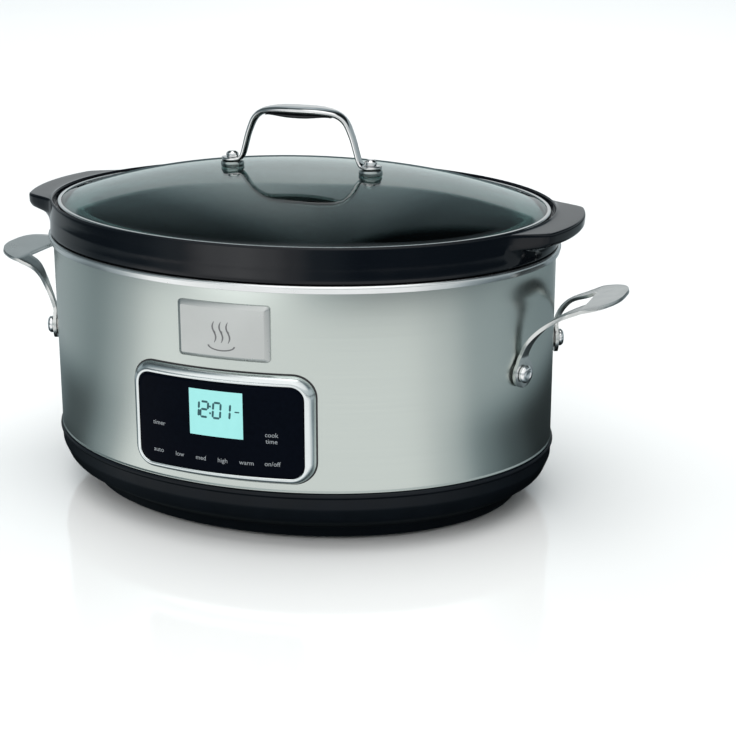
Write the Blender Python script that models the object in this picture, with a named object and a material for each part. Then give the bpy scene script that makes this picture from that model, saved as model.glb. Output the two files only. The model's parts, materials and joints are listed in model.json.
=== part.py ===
"""Oval slow cooker with a lift-out stoneware crock and a lift-off glass lid.

Metres, +Z up. The origin is the centre of the footprint on the surface the cooker stands on. +X runs along
the long axis to the right of someone facing the control panel, and the panel faces -Y.
"""

import math

import bmesh
import bpy
from mathutils import Matrix, Vector

# Driving dimensions
OVERALL_WIDTH = 0.450  # side handle tip to side handle tip
OVERALL_HEIGHT = 0.262  # resting plane to the top of the lid handle
WALL_X = 0.1745  # half axes of the steel wrap's outer face
WALL_Y = 0.1395
WALL_BOTTOM = 0.0415
WALL_TOP = 0.1716
SHEET = 0.001  # thickness of the steel sheet
GAP = 0.0003  # clearance left between touching pieces
RING_TOP = 0.1757  # top of the rim ring, which carries the crock
RING_OUTSET = 0.0033  # how far the ring stands out from the wrap
FLANGE_TOP = 0.1718  # top of the liner's flange
LINER_INSET = 0.0205  # liner's inner face at its top
LINER_FLOOR = 0.0560
CROCK_RIM_TOP = 0.1982
CROCK_FLOOR = 0.0590  # underside of the crock
CROCK_THICKNESS = 0.0065
EAR_LENGTH = 0.0184  # how far the crock's lugs reach past its rim band
EAR_FULL = 0.0410  # half width over which a lug keeps its full reach
EAR_END = 0.0580  # half width at which it has run out
LEDGE = 0.1932  # seat of the lid inside the crock's rim
DOME_EDGE = 0.1975  # glass surface height where the dome starts
DOME_RISE = 0.0218
DOME_POWER = 2.6  # above 2 the dome is flat in the middle and falls off near its edge
DOME_INSET = 0.0078  # edge of the dome from the wrap
GLASS = 0.0036
LID_BOSS_X = 0.0500
PANEL_HALF_WIDTH = 0.0560
PANEL_BOTTOM = 0.0530
PANEL_TOP = 0.1120
PANEL_PROUD = 0.0062  # panel face in front of the wrap
PANEL_CORNER = 0.0085
BEZEL_GAP = 0.0004  # clearance between the window and the bezel
BADGE_X = 0.0040
BADGE_HALF_WIDTH = 0.0305
BADGE_BOTTOM = 0.1260
BADGE_TOP = 0.1620
STUD_Y = 0.0427  # side handle studs, either side of the long axis
STUD_Z = 0.1060
STRAP = 0.0023  # thickness of the side handles' steel
TAB_MIDDLE = 0.0025  # middle of a tab's sheet from the wrap
ARM_HALF_WIDTH = 0.0036
TAB_RADIUS = 0.0094
GRIP_HALF_WIDTH = 0.0333
GRIP_TIP_Z = 0.1520
MAINS_Z = 0.0290  # height of the bush for the mains lead
CLEAR_BORE = 0.0030  # radius of the holes in the shell for the studs
FOOT_X = 0.0950
FOOT_Y = 0.0620
FOOT_HEIGHT = 0.0036
VENT_X = 0.050
SENSOR_X = 0.045
VENT_LENGTH = 0.028
VENT_WIDTH = 0.004
VENT_PITCH = 0.012

OVAL_STEPS = 40
HIDDEN_STEPS = 28
CROCK_STEPS = 56
ROUND_STEPS = 12


# ---------------------------------------------------------------- scene and materials
def clear_scene():
    for obj in list(bpy.data.objects):
        bpy.data.objects.remove(obj, do_unlink=True)


def make_material(name, colour, roughness, metallic=0.0, transmission=0.0):
    material = bpy.data.materials.new(name)
    material.use_nodes = True
    shader = material.node_tree.nodes["Principled BSDF"]
    shader.inputs["Base Color"].default_value = (*colour, 1.0)
    shader.inputs["Roughness"].default_value = roughness
    shader.inputs["Metallic"].default_value = metallic
    shader.inputs["Transmission Weight"].default_value = transmission
    return material


def make_materials():
    return {
        "brushed_steel": make_material("brushed_steel", (0.62, 0.63, 0.62), 0.32, 1.0),
        "polished_steel": make_material("polished_steel", (0.80, 0.81, 0.81), 0.10, 1.0),
        "silver_trim": make_material("silver_trim", (0.78, 0.80, 0.80), 0.30, 0.8),
        "chrome": make_material("chrome", (0.86, 0.87, 0.88), 0.05, 1.0),
        "zinc_steel": make_material("zinc_steel", (0.55, 0.55, 0.53), 0.40, 1.0),
        "aluminium": make_material("aluminium", (0.66, 0.67, 0.68), 0.45, 1.0),
        "black_glaze": make_material("black_glaze", (0.012, 0.012, 0.016), 0.08),
        "smoked_glass": make_material("smoked_glass", (0.30, 0.36, 0.37), 0.03, 0.0, 0.8),
        "black_plastic": make_material("black_plastic", (0.020, 0.021, 0.023), 0.42),
        "panel_glass": make_material("panel_glass", (0.010, 0.011, 0.016), 0.06),
        "display": make_material("display", (0.55, 0.93, 0.88), 0.30),
        "backlight": make_material("backlight", (0.85, 0.95, 0.95), 0.40),
        "board": make_material("board", (0.03, 0.19, 0.08), 0.50),
        "component": make_material("component", (0.05, 0.06, 0.09), 0.45),
        "copper": make_material("copper", (0.60, 0.30, 0.16), 0.35, 1.0),
        "mica": make_material("mica", (0.52, 0.46, 0.36), 0.70),
        "rubber": make_material("rubber", (0.02, 0.02, 0.02), 0.80),
    }


# ---------------------------------------------------------------- shape helpers
def add_solid(name, points, faces, material):
    """One named object from points and faces, with its faces turned outwards and its round parts smooth."""
    mesh = bpy.data.meshes.new(name)
    mesh.from_pydata([tuple(point) for point in points], [], faces)
    shape = bmesh.new()
    shape.from_mesh(mesh)
    bmesh.ops.remove_doubles(shape, verts=shape.verts, dist=1e-7)
    bmesh.ops.recalc_face_normals(shape, faces=shape.faces)
    shape.to_mesh(mesh)
    shape.free()
    mesh.shade_smooth()
    mesh.set_sharp_from_angle(angle=math.radians(35))
    mesh.materials.append(material)
    obj = bpy.data.objects.new(name, mesh)
    bpy.context.collection.objects.link(obj)
    return obj


def loft(name, rings, material, closed=False):
    """Skin over rings of equal point count. A closed loft joins its ends; others get caps."""
    count = len(rings[0])
    points = [point for ring in rings for point in ring]
    faces = []
    for i in range(len(rings) if closed else len(rings) - 1):
        low = i * count
        high = ((i + 1) % len(rings)) * count
        for k in range(count):
            after = (k + 1) % count
            faces.append((low + k, low + after, high + after, high + k))
    if not closed:
        faces.append(tuple(range(count)))
        faces.append(tuple(range((len(rings) - 1) * count, len(rings) * count)))
    return add_solid(name, points, faces, material)


def oval_ring(inset, z, steps=OVAL_STEPS):
    """Points round the cooker's oval plan, moved in from the wrap's outer face by inset."""
    angles = [2 * math.pi * k / steps for k in range(steps)]
    return [((WALL_X - inset) * math.cos(a), (WALL_Y - inset) * math.sin(a), z) for a in angles]


def oval_solid(name, profile, material, closed=True, steps=OVAL_STEPS):
    """A piece whose section, a list of (inset, z), is the same all round the oval."""
    return loft(name, [oval_ring(inset, z, steps) for inset, z in profile], material, closed)


def turned(name, profile, material, place, closed=False, sides=ROUND_STEPS):
    """A piece turned about its local Z from a profile of (radius, z), put in place by a matrix."""
    rings = []
    for radius, z in profile:
        angles = [2 * math.pi * (k + 0.5) / sides for k in range(sides)]
        rings.append([(radius * math.cos(a), radius * math.sin(a), z) for a in angles])
    obj = loft(name, rings, material, closed)
    obj.matrix_world = place
    return obj


def block(name, low, high, material, bevel=0.0):
    """A box between two corners, with its edges broken by a Bevel where bevel is given."""
    middle = (Vector(low) + Vector(high)) / 2
    half = (Vector(high) - Vector(low)) / 2
    signs = [(-1, -1), (1, -1), (1, 1), (-1, 1)]
    rings = [[(x * half.x, y * half.y, z * half.z) for x, y in signs] for z in (-1, 1)]
    obj = loft(name, rings, material)
    obj.location = middle
    if bevel:
        modifier = obj.modifiers.new("Edges", "BEVEL")
        modifier.width = bevel
        modifier.segments = 2
    return obj


def upright(x, y, z):
    """Placement of a turned piece whose axis stays vertical."""
    return Matrix.Translation((x, y, z))


def outward(x, y, z, angle):
    """Placement of a turned piece whose axis points out from the wrap, at this angle from +X."""
    turn = Matrix.Rotation(angle, 4, "Z") @ Matrix.Rotation(math.pi / 2, 4, "Y")
    return Matrix.Translation((x, y, z)) @ turn


def cut(obj, cutters):
    """Takes the cutters out of obj."""
    for number, cutter in enumerate(cutters):
        cutter.hide_render = True
        cutter.display_type = "WIRE"
        cutter.name = f"{obj.name}_cutter_{number}"
        modifier = obj.modifiers.new(f"Cut {number}", "BOOLEAN")
        modifier.operation = "DIFFERENCE"
        modifier.object = cutter


def bar(radius, length, place, material, sides=ROUND_STEPS):
    """A plain round cutter along the placement's Z."""
    return turned("cutter", [(radius, -length / 2), (radius, length / 2)], material, place, sides=sides)


def front_y(x, outset):
    """Y of the wrap's front, moved outwards by outset, at this X."""
    return -(WALL_Y + outset) * math.sqrt(1 - (x / (WALL_X + outset)) ** 2)


def rounded_height(x, half_width, bottom, top, radius):
    """Lower and upper edge of a rounded rectangle at this X."""
    reach = abs(x) - (half_width - radius)
    drop = radius - math.sqrt(max(radius**2 - reach**2, 0.0)) if reach > 0 else 0.0
    return bottom + drop, top - drop


def curved_plate(name, outline, faces, material, centre=0.0):
    """A rounded plate that follows the wrap's front.

    The outline is (half width, bottom, top, corner radius) and the faces are (back, front) as outsets.
    """
    half_width, bottom, top, radius = outline
    back, front = faces
    rings = []
    arc = [half_width - radius + radius * math.sin(math.radians(a)) for a in (0, 30, 55, 75, 86)]
    straight = [(half_width - radius) * k / 5 for k in range(5)]
    right = straight + arc
    for x in [-value for value in reversed(right[1:])] + right:
        low, high = rounded_height(x, half_width, bottom, top, radius)
        at = x + centre
        corners = ((back, low), (back, high), (front, high), (front, low))
        rings.append([(at, front_y(at, outset), z) for outset, z in corners])
    return loft(name, rings, material)


def rounded_loop(half_width, bottom, top, radius, corner_steps=5, side_steps=6):
    """(x, z) points round a rounded rectangle, with extra points on the long sides so that they can curve."""
    middle = (bottom + top) / 2
    half_height = (top - bottom) / 2
    points = []
    for sx, sz, start in ((1, 1, 0), (-1, 1, 90), (-1, -1, 180), (1, -1, 270)):
        centre = (sx * (half_width - radius), middle + sz * (half_height - radius))
        for k in range(corner_steps + 1):
            angle = math.radians(start + 90 * k / corner_steps)
            points.append((centre[0] + radius * math.cos(angle), centre[1] + radius * math.sin(angle)))
        if start in (0, 180):
            reach = half_width - radius
            for k in range(1, side_steps):
                points.append((sx * (reach - 2 * reach * k / side_steps), points[-1][1]))
    return points


# ---------------------------------------------------------------- base group: shell and base
def stud_angle():
    """Direction of the wrap's outward normal at a stud, as an angle from +X."""
    x = WALL_X * math.sqrt(1 - (STUD_Y / WALL_Y) ** 2)
    return math.atan2(STUD_Y / WALL_Y**2, x / WALL_X**2)


def stud_places():
    """(side, end, place of the wrap's surface at that stud) for the four studs."""
    x = WALL_X * math.sqrt(1 - (STUD_Y / WALL_Y) ** 2)
    places = []
    for side, sx in (("left", -1), ("right", 1)):
        for end, sy in (("front", -1), ("rear", 1)):
            angle = math.atan2(sy * math.sin(stud_angle()), sx * math.cos(stud_angle()))
            places.append((side, end, outward(sx * x, sy * STUD_Y, STUD_Z, angle)))
    return places


def make_outer_housing(mats):
    profile = [(0, WALL_BOTTOM), (0, WALL_TOP), (SHEET, WALL_TOP), (SHEET, WALL_BOTTOM)]
    housing = oval_solid("outer_housing", profile, mats["brushed_steel"])
    margin = 0.004
    window = block(
        "cutter",
        (-PANEL_HALF_WIDTH + margin, -WALL_Y - 0.01, PANEL_BOTTOM + margin),
        (PANEL_HALF_WIDTH - margin, -WALL_Y + 0.02, PANEL_TOP - margin),
        mats["zinc_steel"],
    )
    holes = [bar(CLEAR_BORE, 0.012, place, mats["zinc_steel"], 10) for _, _, place in stud_places()]
    cut(housing, [window, *holes])


def make_rim_ring(mats):
    skirt = 0.0023
    profile = [
        (-0.0004, 0.1708),
        (-RING_OUTSET + 0.0008, 0.1708),
        (-RING_OUTSET, 0.1716),
        (-RING_OUTSET, 0.1740),
        (-RING_OUTSET + 0.0007, 0.1751),
        (-RING_OUTSET + 0.0022, RING_TOP),
        (0.0085, RING_TOP),
        (0.0085, FLANGE_TOP + 0.0004),
        (-RING_OUTSET + skirt + 0.0006, FLANGE_TOP + 0.0004),
    ]
    oval_solid("rim_ring", profile, mats["silver_trim"])


def make_base_skirt(mats):
    profile = [
        (-0.0012, 0.0410),
        (-0.0014, 0.0385),
        (-0.0004, 0.0375),
        (-0.0002, 0.0320),
        (0.0014, 0.0250),
        (0.0052, 0.0190),
        (0.0110, 0.0148),
        (0.0168, 0.0128),
        (0.0186, 0.0112),
        (0.0222, 0.0032),
        (0.0250, 0.0026),
        (0.0278, 0.0032),
        (0.0278, 0.0090),
        (0.0210, 0.0150),
        (0.0130, 0.0178),
        (0.0075, 0.0220),
        (0.0042, 0.0270),
        (0.0030, 0.0330),
        (0.0030, 0.0410),
    ]
    skirt = oval_solid("base_skirt", profile, mats["black_plastic"])
    place = Matrix.Translation((0, WALL_Y - 0.004, MAINS_Z)) @ Matrix.Rotation(math.pi / 2, 4, "X")
    cut(skirt, [bar(0.0062, 0.040, place, mats["zinc_steel"], 12)])


def make_bottom_cover(mats):
    top, bottom, edge = 0.0062, 0.0042, 0.0284
    section = [(edge, bottom), (edge, top)]
    cover = oval_solid("bottom_cover", section, mats["black_plastic"], closed=False, steps=HIDDEN_STEPS)
    cutters = [bar(0.0034, 0.01, upright(0, 0, bottom), mats["zinc_steel"])]
    for sx in (-1, 1):
        for sy in (-1, 1):
            place = upright(sx * FOOT_X, sy * FOOT_Y, bottom)
            cutters.append(bar(0.0022, 0.01, place, mats["zinc_steel"], 8))
        for row in (-1, 0, 1):
            low = (sx * VENT_X - VENT_LENGTH / 2, row * VENT_PITCH - VENT_WIDTH / 2, bottom - 0.003)
            high = (low[0] + VENT_LENGTH, low[1] + VENT_WIDTH, top + 0.003)
            cutters.append(block("cutter", low, high, mats["zinc_steel"]))
    cut(cover, cutters)


def make_feet(mats):
    for x_name, sx in (("left", -1), ("right", 1)):
        for y_name, sy in (("front", -1), ("rear", 1)):
            place = upright(sx * FOOT_X, sy * FOOT_Y, 0)
            foot = [
                (0.0046, 0.0),
                (0.0082, 0.0),
                (0.0090, 0.0008),
                (0.0090, FOOT_HEIGHT),
                (0.0021, FOOT_HEIGHT),
                (0.0021, 0.0024),
                (0.0046, 0.0024),
            ]
            turned(f"foot_{y_name}_{x_name}", foot, mats["rubber"], place, closed=True)
            screw = [(0.0030, 0.0006), (0.0034, 0.0012), (0.0034, 0.0021), (0.0016, 0.0021), (0.0016, 0.0125)]
            turned(f"foot_screw_{y_name}_{x_name}", screw, mats["zinc_steel"], place, sides=8)


def make_cord_gland(mats):
    """Bush in the back of the base where the mains lead comes out, built blind."""
    place = Matrix.Translation((0, WALL_Y, MAINS_Z)) @ Matrix.Rotation(-math.pi / 2, 4, "X")
    profile = [
        (0.0056, -0.0085),
        (0.0056, 0.0008),
        (0.0080, 0.0010),
        (0.0080, 0.0030),
        (0.0056, 0.0048),
        (0.0048, PANEL_PROUD),
    ]
    turned("cord_gland", profile, mats["rubber"], place)


# ---------------------------------------------------------------- base group: heating
def make_heating_liner(mats):
    inner = LINER_INSET
    draft = 0.004
    profile = [
        (inner + draft + 0.010, LINER_FLOOR),
        (inner + draft + 0.002, LINER_FLOOR + 0.0015),
        (inner + draft, LINER_FLOOR + 0.006),
        (inner, FLANGE_TOP - 0.002),
        (inner - 0.002, FLANGE_TOP),
        (SHEET + 0.0005, FLANGE_TOP),
        (SHEET + 0.0005, FLANGE_TOP - SHEET),
        (inner - 0.0025, FLANGE_TOP - SHEET),
        (inner - SHEET, FLANGE_TOP - 0.0025),
        (inner + draft - SHEET, LINER_FLOOR + 0.006),
        (inner + draft + 0.001, LINER_FLOOR + 0.0002),
        (inner + draft + 0.010, LINER_FLOOR - SHEET),
    ]
    liner = oval_solid("heating_liner", profile, mats["aluminium"], closed=False, steps=HIDDEN_STEPS)
    tie_hole = bar(0.0030, 0.02, upright(0, 0, LINER_FLOOR), mats["zinc_steel"])
    sensor_hole = bar(0.0060, 0.02, upright(SENSOR_X, 0, LINER_FLOOR), mats["zinc_steel"])
    cut(liner, [tie_hole, sensor_hole])


def make_heater(mats):
    liner_face = LINER_INSET + 0.0030
    band = [
        (liner_face - 0.0006, 0.0700),
        (liner_face - 0.0022, 0.1100),
        (liner_face - 0.0047, 0.1100),
        (liner_face - 0.0031, 0.0700),
    ]
    oval_solid("heater_band", band, mats["mica"], steps=HIDDEN_STEPS)
    strap = [
        (liner_face - 0.0042, 0.0840),
        (liner_face - 0.0046, 0.0960),
        (liner_face - 0.0056, 0.0960),
        (liner_face - 0.0052, 0.0840),
    ]
    oval_solid("heater_strap", strap, mats["zinc_steel"], steps=HIDDEN_STEPS)


def make_centre_tie(mats):
    """Bolt that pulls the bottom cover up against the liner's floor."""
    bolt = [(0.0030, 0.0022), (0.0052, 0.0026), (0.0052, 0.0038), (0.0025, 0.0038), (0.0025, 0.0572)]
    turned("tie_bolt", bolt, mats["zinc_steel"], upright(0, 0, 0))
    nut = [(0.0034, 0.0505), (0.0056, 0.0505), (0.0056, 0.0545), (0.0034, 0.0545)]
    turned("tie_nut", nut, mats["zinc_steel"], upright(0, 0, 0), closed=True, sides=6)
    washer = [(0.0030, 0.0066), (0.0095, 0.0066), (0.0095, 0.0078), (0.0030, 0.0078)]
    turned("tie_washer", washer, mats["zinc_steel"], upright(0, 0, 0), closed=True)


def make_thermal_parts(mats):
    """Sensor that touches the crock through the liner's floor, its spring, and the fuse under the liner."""
    place = upright(SENSOR_X, 0, 0)
    sensor = [(0.0040, 0.0420), (0.0040, 0.0500), (0.0055, 0.0502), (0.0055, 0.0572), (0.0045, 0.0584)]
    turned("thermal_sensor", sensor, mats["aluminium"], place)
    wire, turns, points_per_turn, mean_radius = 0.0005, 3, 10, 0.0062
    low, high = 0.0400, 0.0490
    curve = bpy.data.curves.new("sensor_spring", "CURVE")
    curve.dimensions = "3D"
    curve.bevel_depth = wire
    curve.bevel_resolution = 0
    curve.use_fill_caps = True
    spline = curve.splines.new("POLY")
    total = turns * points_per_turn
    spline.points.add(total)
    for k in range(total + 1):
        angle = 2 * math.pi * k / points_per_turn
        z = low + (high - low) * k / total
        spline.points[k].co = (mean_radius * math.cos(angle), mean_radius * math.sin(angle), z, 1)
    spring = bpy.data.objects.new("sensor_spring", curve)
    curve.materials.append(mats["zinc_steel"])
    spring.location = (SENSOR_X, 0, 0)
    bpy.context.collection.objects.link(spring)
    fuse_place = Matrix.Translation((-0.045, 0.03, 0.0525)) @ Matrix.Rotation(math.pi / 2, 4, "Y")
    fuse = [(0.0005, -0.010), (0.0020, -0.006), (0.0020, 0.006), (0.0005, 0.010)]
    turned("thermal_fuse", fuse, mats["copper"], fuse_place, sides=10)


# ---------------------------------------------------------------- base group: electrics
def make_control_stack(mats):
    outline = (PANEL_HALF_WIDTH, PANEL_BOTTOM, PANEL_TOP, PANEL_CORNER)
    curved_plate("control_window", outline, (PANEL_PROUD - 0.0030, PANEL_PROUD - 0.0006), mats["panel_glass"])
    black, board, steel = mats["black_plastic"], mats["board"], mats["aluminium"]
    block("lcd_display", (-0.0212, -0.1372, 0.0740), (0.0212, -0.1340, 0.1100), mats["display"], 0.0004)
    block("lcd_backlight", (-0.0205, -0.1336, 0.0746), (0.0205, -0.1318, 0.1094), mats["backlight"])
    block("control_board", (-0.0440, -0.1314, 0.0550), (0.0440, -0.1298, 0.1120), board)
    block("control_carrier", (-0.0480, -0.1294, 0.0530), (0.0480, -0.1272, 0.1145), black, 0.0006)
    block("heat_shield", (-0.0500, -0.1256, 0.0500), (0.0500, -0.1248, 0.1200), steel)


def make_power_parts(mats):
    component, black = mats["component"], mats["black_plastic"]
    block("power_board", (-0.0780, -0.0700, 0.0170), (-0.0180, 0.0000, 0.0186), mats["board"])
    block("transformer", (-0.0700, -0.0600, 0.0190), (-0.0420, -0.0340, 0.0400), component, 0.001)
    block("relay", (-0.0360, -0.0600, 0.0190), (-0.0210, -0.0400, 0.0330), component, 0.0006)
    block("terminal_block", (-0.0140, 0.0780, 0.0180), (0.0140, 0.0900, 0.0290), black, 0.0006)


def make_control_bezel(mats):
    """Chrome frame round the window: its section runs out from the wrap and back in beside the window."""
    section = []
    for side, below, above, corner, outset in (
        (0.0058, 0.0052, 0.0066, 0.0060, 0.0004),
        (0.0052, 0.0046, 0.0056, 0.0052, 0.0030),
        (0.0034, 0.0032, 0.0034, 0.0030, PANEL_PROUD),
        (BEZEL_GAP, BEZEL_GAP, BEZEL_GAP, BEZEL_GAP, PANEL_PROUD),
        (BEZEL_GAP, BEZEL_GAP, BEZEL_GAP, BEZEL_GAP, 0.0004),
    ):
        loop = rounded_loop(
            PANEL_HALF_WIDTH + side,
            PANEL_BOTTOM - below,
            PANEL_TOP + above,
            PANEL_CORNER + corner,
        )
        section.append((loop, outset))
    rings = [[(x, front_y(x, outset), z) for x, z in loop] for loop, outset in section]
    loft("control_bezel", rings, mats["chrome"], closed=True)


def make_badge(mats):
    outline = (BADGE_HALF_WIDTH, BADGE_BOTTOM, BADGE_TOP, 0.0022)
    curved_plate("badge_plate", outline, (0.0004, 0.0026), mats["polished_steel"], BADGE_X)
    curved_plate("badge_emblem", (0.0070, 0.1375, 0.1505, 0.0060), (0.0029, 0.0033), mats["chrome"], BADGE_X)


# ---------------------------------------------------------------- base group: side handles
def smooth(value):
    value = min(max(value, 0.0), 1.0)
    return value * value * (3 - 2 * value)


def stud_x():
    """X of the middle of a tab's sheet, at its stud."""
    return WALL_X * math.sqrt(1 - (STUD_Y / WALL_Y) ** 2) + TAB_MIDDLE / math.cos(stud_angle())


def arm_stations():
    """(x, z, centre y, half width, twist) up one arm, from the tab's lower end to where the grip starts."""
    stations = []
    for angle in (-80, -52, -24, 0, 24, 48):
        half = TAB_RADIUS * math.cos(math.radians(angle))
        z = STUD_Z + TAB_RADIUS * math.sin(math.radians(angle))
        stations.append((stud_x(), z, STUD_Y, half, 1.0))
    bend = (
        (0.0000, 0.0112),
        (0.0012, 0.0150),
        (0.0035, 0.0200),
        (0.0072, 0.0250),
        (0.0122, 0.0297),
        (0.0186, 0.0337),
        (0.0262, 0.0373),
        (0.0340, 0.0408),
    )
    for out, up in bend:
        share = smooth((out + 0.0020) / 0.0300)
        centre = STUD_Y + (GRIP_HALF_WIDTH - 0.0080 - STUD_Y) * share
        half = ARM_HALF_WIDTH + (0.0080 - ARM_HALF_WIDTH) * smooth((out - 0.0120) / 0.0220)
        twist = 1 - smooth((out - 0.0010) / 0.0180)
        stations.append((stud_x() + out, STUD_Z + up, centre, half, twist))
    return stations


def grip_stations():
    """(x, z, half width) over the solid part of the grip, out to its tip."""
    start_x, start_z = arm_stations()[-1][:2]
    stations = []
    for angle in (18, 36, 54, 70, 84):
        out = math.sin(math.radians(angle))
        half = GRIP_HALF_WIDTH * math.cos(math.radians(angle)) ** 0.75
        x = start_x + (OVERALL_WIDTH / 2 - GAP - start_x) * out / math.sin(math.radians(84))
        stations.append((x, start_z + (GRIP_TIP_Z - start_z) * out, half))
    return stations


def make_side_handle(side, sx, mats):
    """A steel strap: two tabs on the wrap, two arms that rise and lean out, and the flat grip."""
    columns = 6
    points, faces, arms = [], [], {-1: [], 1: []}
    for sy in (-1, 1):
        for x, z, centre, half, twist in arm_stations():
            angle = stud_angle() * twist
            lean, across = half * math.sin(angle), half * math.cos(angle)
            arms[sy].append((len(points), len(points) + 1))
            points.append((sx * (x - lean), sy * (centre + across), z))
            points.append((sx * (x + lean), sy * (centre - across), z))
        for near, far in zip(arms[sy], arms[sy][1:]):
            faces.append((near[0], near[1], far[1], far[0]))
    x, z, centre, half, _ = arm_stations()[-1]
    inner, outer = centre - half, centre + half
    previous = [arms[-1][-1][0], arms[-1][-1][1]]
    for k in range(1, columns):
        previous.append(len(points))
        points.append((sx * x, -inner + 2 * inner * k / columns, z))
    previous += [arms[1][-1][1], arms[1][-1][0]]
    for x, z, half in grip_stations():
        share = half / outer
        widths = [-half, *[share * (-inner + 2 * inner * k / columns) for k in range(columns + 1)], half]
        current = list(range(len(points), len(points) + len(widths)))
        points += [(sx * x, y, z) for y in widths]
        for k in range(len(previous) - 1):
            faces.append((previous[k], previous[k + 1], current[k + 1], current[k]))
        previous = current
    handle = add_solid(f"side_handle_{side}", points, faces, mats["polished_steel"])
    thick = handle.modifiers.new("Sheet", "SOLIDIFY")
    thick.thickness = STRAP
    thick.offset = 0.0
    thick.use_even_offset = True
    places = [place for name, _, place in stud_places() if name == side]
    cut(handle, [bar(0.0029, 0.02, place, mats["zinc_steel"], 10) for place in places])


def make_side_handle_fasteners(mats):
    tab_face = TAB_MIDDLE + STRAP / 2 + GAP  # where the stud's collar sits, from the wrap
    for side, end, place in stud_places():
        label = f"{side}_{end}"
        stud = [
            (0.0024, -0.0100),
            (0.0024, tab_face),
            (0.0053, tab_face),
            (0.0058, tab_face + 0.0008),
            (0.0058, tab_face + 0.0024),
            (0.0046, tab_face + 0.0037),
            (0.0018, tab_face + 0.0042),
        ]
        turned(f"handle_stud_{label}", stud, mats["chrome"], place)
        spacer = [(0.0029, 0.0005), (0.0070, 0.0005), (0.0070, 0.0010), (0.0029, 0.0010)]
        turned(f"handle_washer_{label}", spacer, mats["zinc_steel"], place, closed=True)
        nut = [(0.0032, -0.0055), (0.0050, -0.0055), (0.0050, -0.0018), (0.0032, -0.0018)]
        turned(f"handle_nut_{label}", nut, mats["zinc_steel"], place, closed=True, sides=6)


# ---------------------------------------------------------------- crock
def ear_reach(y, weight):
    """How far the crock's lug stands out at this Y, for a section point with this weight."""
    return EAR_LENGTH * weight * (1 - smooth((abs(y) - EAR_FULL) / (EAR_END - EAR_FULL)))


def crock_ring(inset, z, ear):
    ring = []
    for x, y, height in oval_ring(inset, z, CROCK_STEPS):
        ring.append((x + math.copysign(ear_reach(y, ear), x), y, height))
    return ring


def make_crock(mats):
    wall = LINER_INSET + 0.0025
    inside = wall + CROCK_THICKNESS
    floor = CROCK_FLOOR + CROCK_THICKNESS
    band_bottom = RING_TOP + GAP
    profile = [
        (wall + 0.028, CROCK_FLOOR, 0),
        (wall + 0.014, CROCK_FLOOR + 0.0020, 0),
        (wall + 0.007, CROCK_FLOOR + 0.0100, 0),
        (wall, band_bottom - 0.0080, 0),
        (wall, band_bottom, 0),
        (0.0010, band_bottom, 0),
        (-0.0012, band_bottom + 0.0016, 0),
        (-0.0018, band_bottom + 0.0070, 0.16),
        (-0.0018, CROCK_RIM_TOP - 0.0112, 0.34),
        (-0.0018, CROCK_RIM_TOP - 0.0090, 0.86),
        (-0.0018, CROCK_RIM_TOP - 0.0060, 0.98),
        (-0.0018, CROCK_RIM_TOP - 0.0012, 1.0),
        (-0.0010, CROCK_RIM_TOP - 0.0002, 0.97),
        (0.0002, CROCK_RIM_TOP, 0),
        (0.0010, CROCK_RIM_TOP - 0.0004, 0),
        (0.0013, LEDGE + 0.0002, 0),
        (0.0030, LEDGE, 0),
        (0.0100, LEDGE, 0),
        (inside - 0.006, LEDGE - 0.0020, 0),
        (inside, LEDGE - 0.0120, 0),
        (inside + 0.0060, floor + 0.0200, 0),
        (inside + 0.0110, floor + 0.0060, 0),
        (inside + 0.0260, floor, 0),
    ]
    rings = [crock_ring(inset, z, ear) for inset, z, ear in profile]
    loft("crock", rings, mats["black_glaze"])


# ---------------------------------------------------------------- lid
def dome_height(share):
    """Height of the glass's outer face at this share of the way from the apex to the edge."""
    return DOME_EDGE + DOME_RISE * (1 - share**DOME_POWER)


def dome_ring(share, drop):
    """Ring on the dome at this share of the way out, lowered by drop."""
    angles = [2 * math.pi * k / OVAL_STEPS for k in range(OVAL_STEPS)]
    reach_x, reach_y = (WALL_X - DOME_INSET) * share, (WALL_Y - DOME_INSET) * share
    return [(reach_x * math.cos(a), reach_y * math.sin(a), dome_height(share) - drop) for a in angles]


def boss_share(offset=0.0):
    """Share of the way out along X at a boss, or at this distance past it."""
    return (LID_BOSS_X + offset) / (WALL_X - DOME_INSET)


def make_lid_glass(mats):
    shares = [0.06, 0.25, 0.46, 0.66, 0.82, 0.93, 1.0]
    flange_inset, flange_top, flange_bottom = 0.0050, DOME_EDGE - 0.0002, DOME_EDGE - 0.0024
    rings = [dome_ring(share, 0) for share in shares]
    rings.append(oval_ring(flange_inset, flange_top))
    rings.append(oval_ring(flange_inset, flange_bottom))
    rings.append(oval_ring(0.0078, flange_bottom))
    rings += [dome_ring(share, GLASS) for share in reversed(shares)]
    glass = loft("lid_glass", rings, mats["smoked_glass"])
    holes = []
    for sx in (-1, 1):
        place = upright(sx * LID_BOSS_X, 0, DOME_EDGE + DOME_RISE)
        holes.append(bar(0.0034, 0.03, place, mats["zinc_steel"]))
    cut(glass, holes)


def make_lid_rim(mats):
    """Steel channel that grips the edge of the glass and sits on the crock's ledge."""
    bottom, top = LEDGE + GAP, 0.1980
    profile = [
        (0.0040, bottom),
        (0.0040, top - 0.0007),
        (0.0046, top),
        (0.0062, top),
        (0.0066, DOME_EDGE + 0.0001),
        (0.0046, DOME_EDGE + 0.0001),
        (0.0046, DOME_EDGE - 0.0028),
        (0.0072, DOME_EDGE - 0.0028),
        (0.0072, bottom),
    ]
    oval_solid("lid_rim", profile, mats["polished_steel"])


def handle_foot():
    """Height of the middle of the lid handle's flattened feet."""
    return dome_height(boss_share()) + 0.0050


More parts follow.
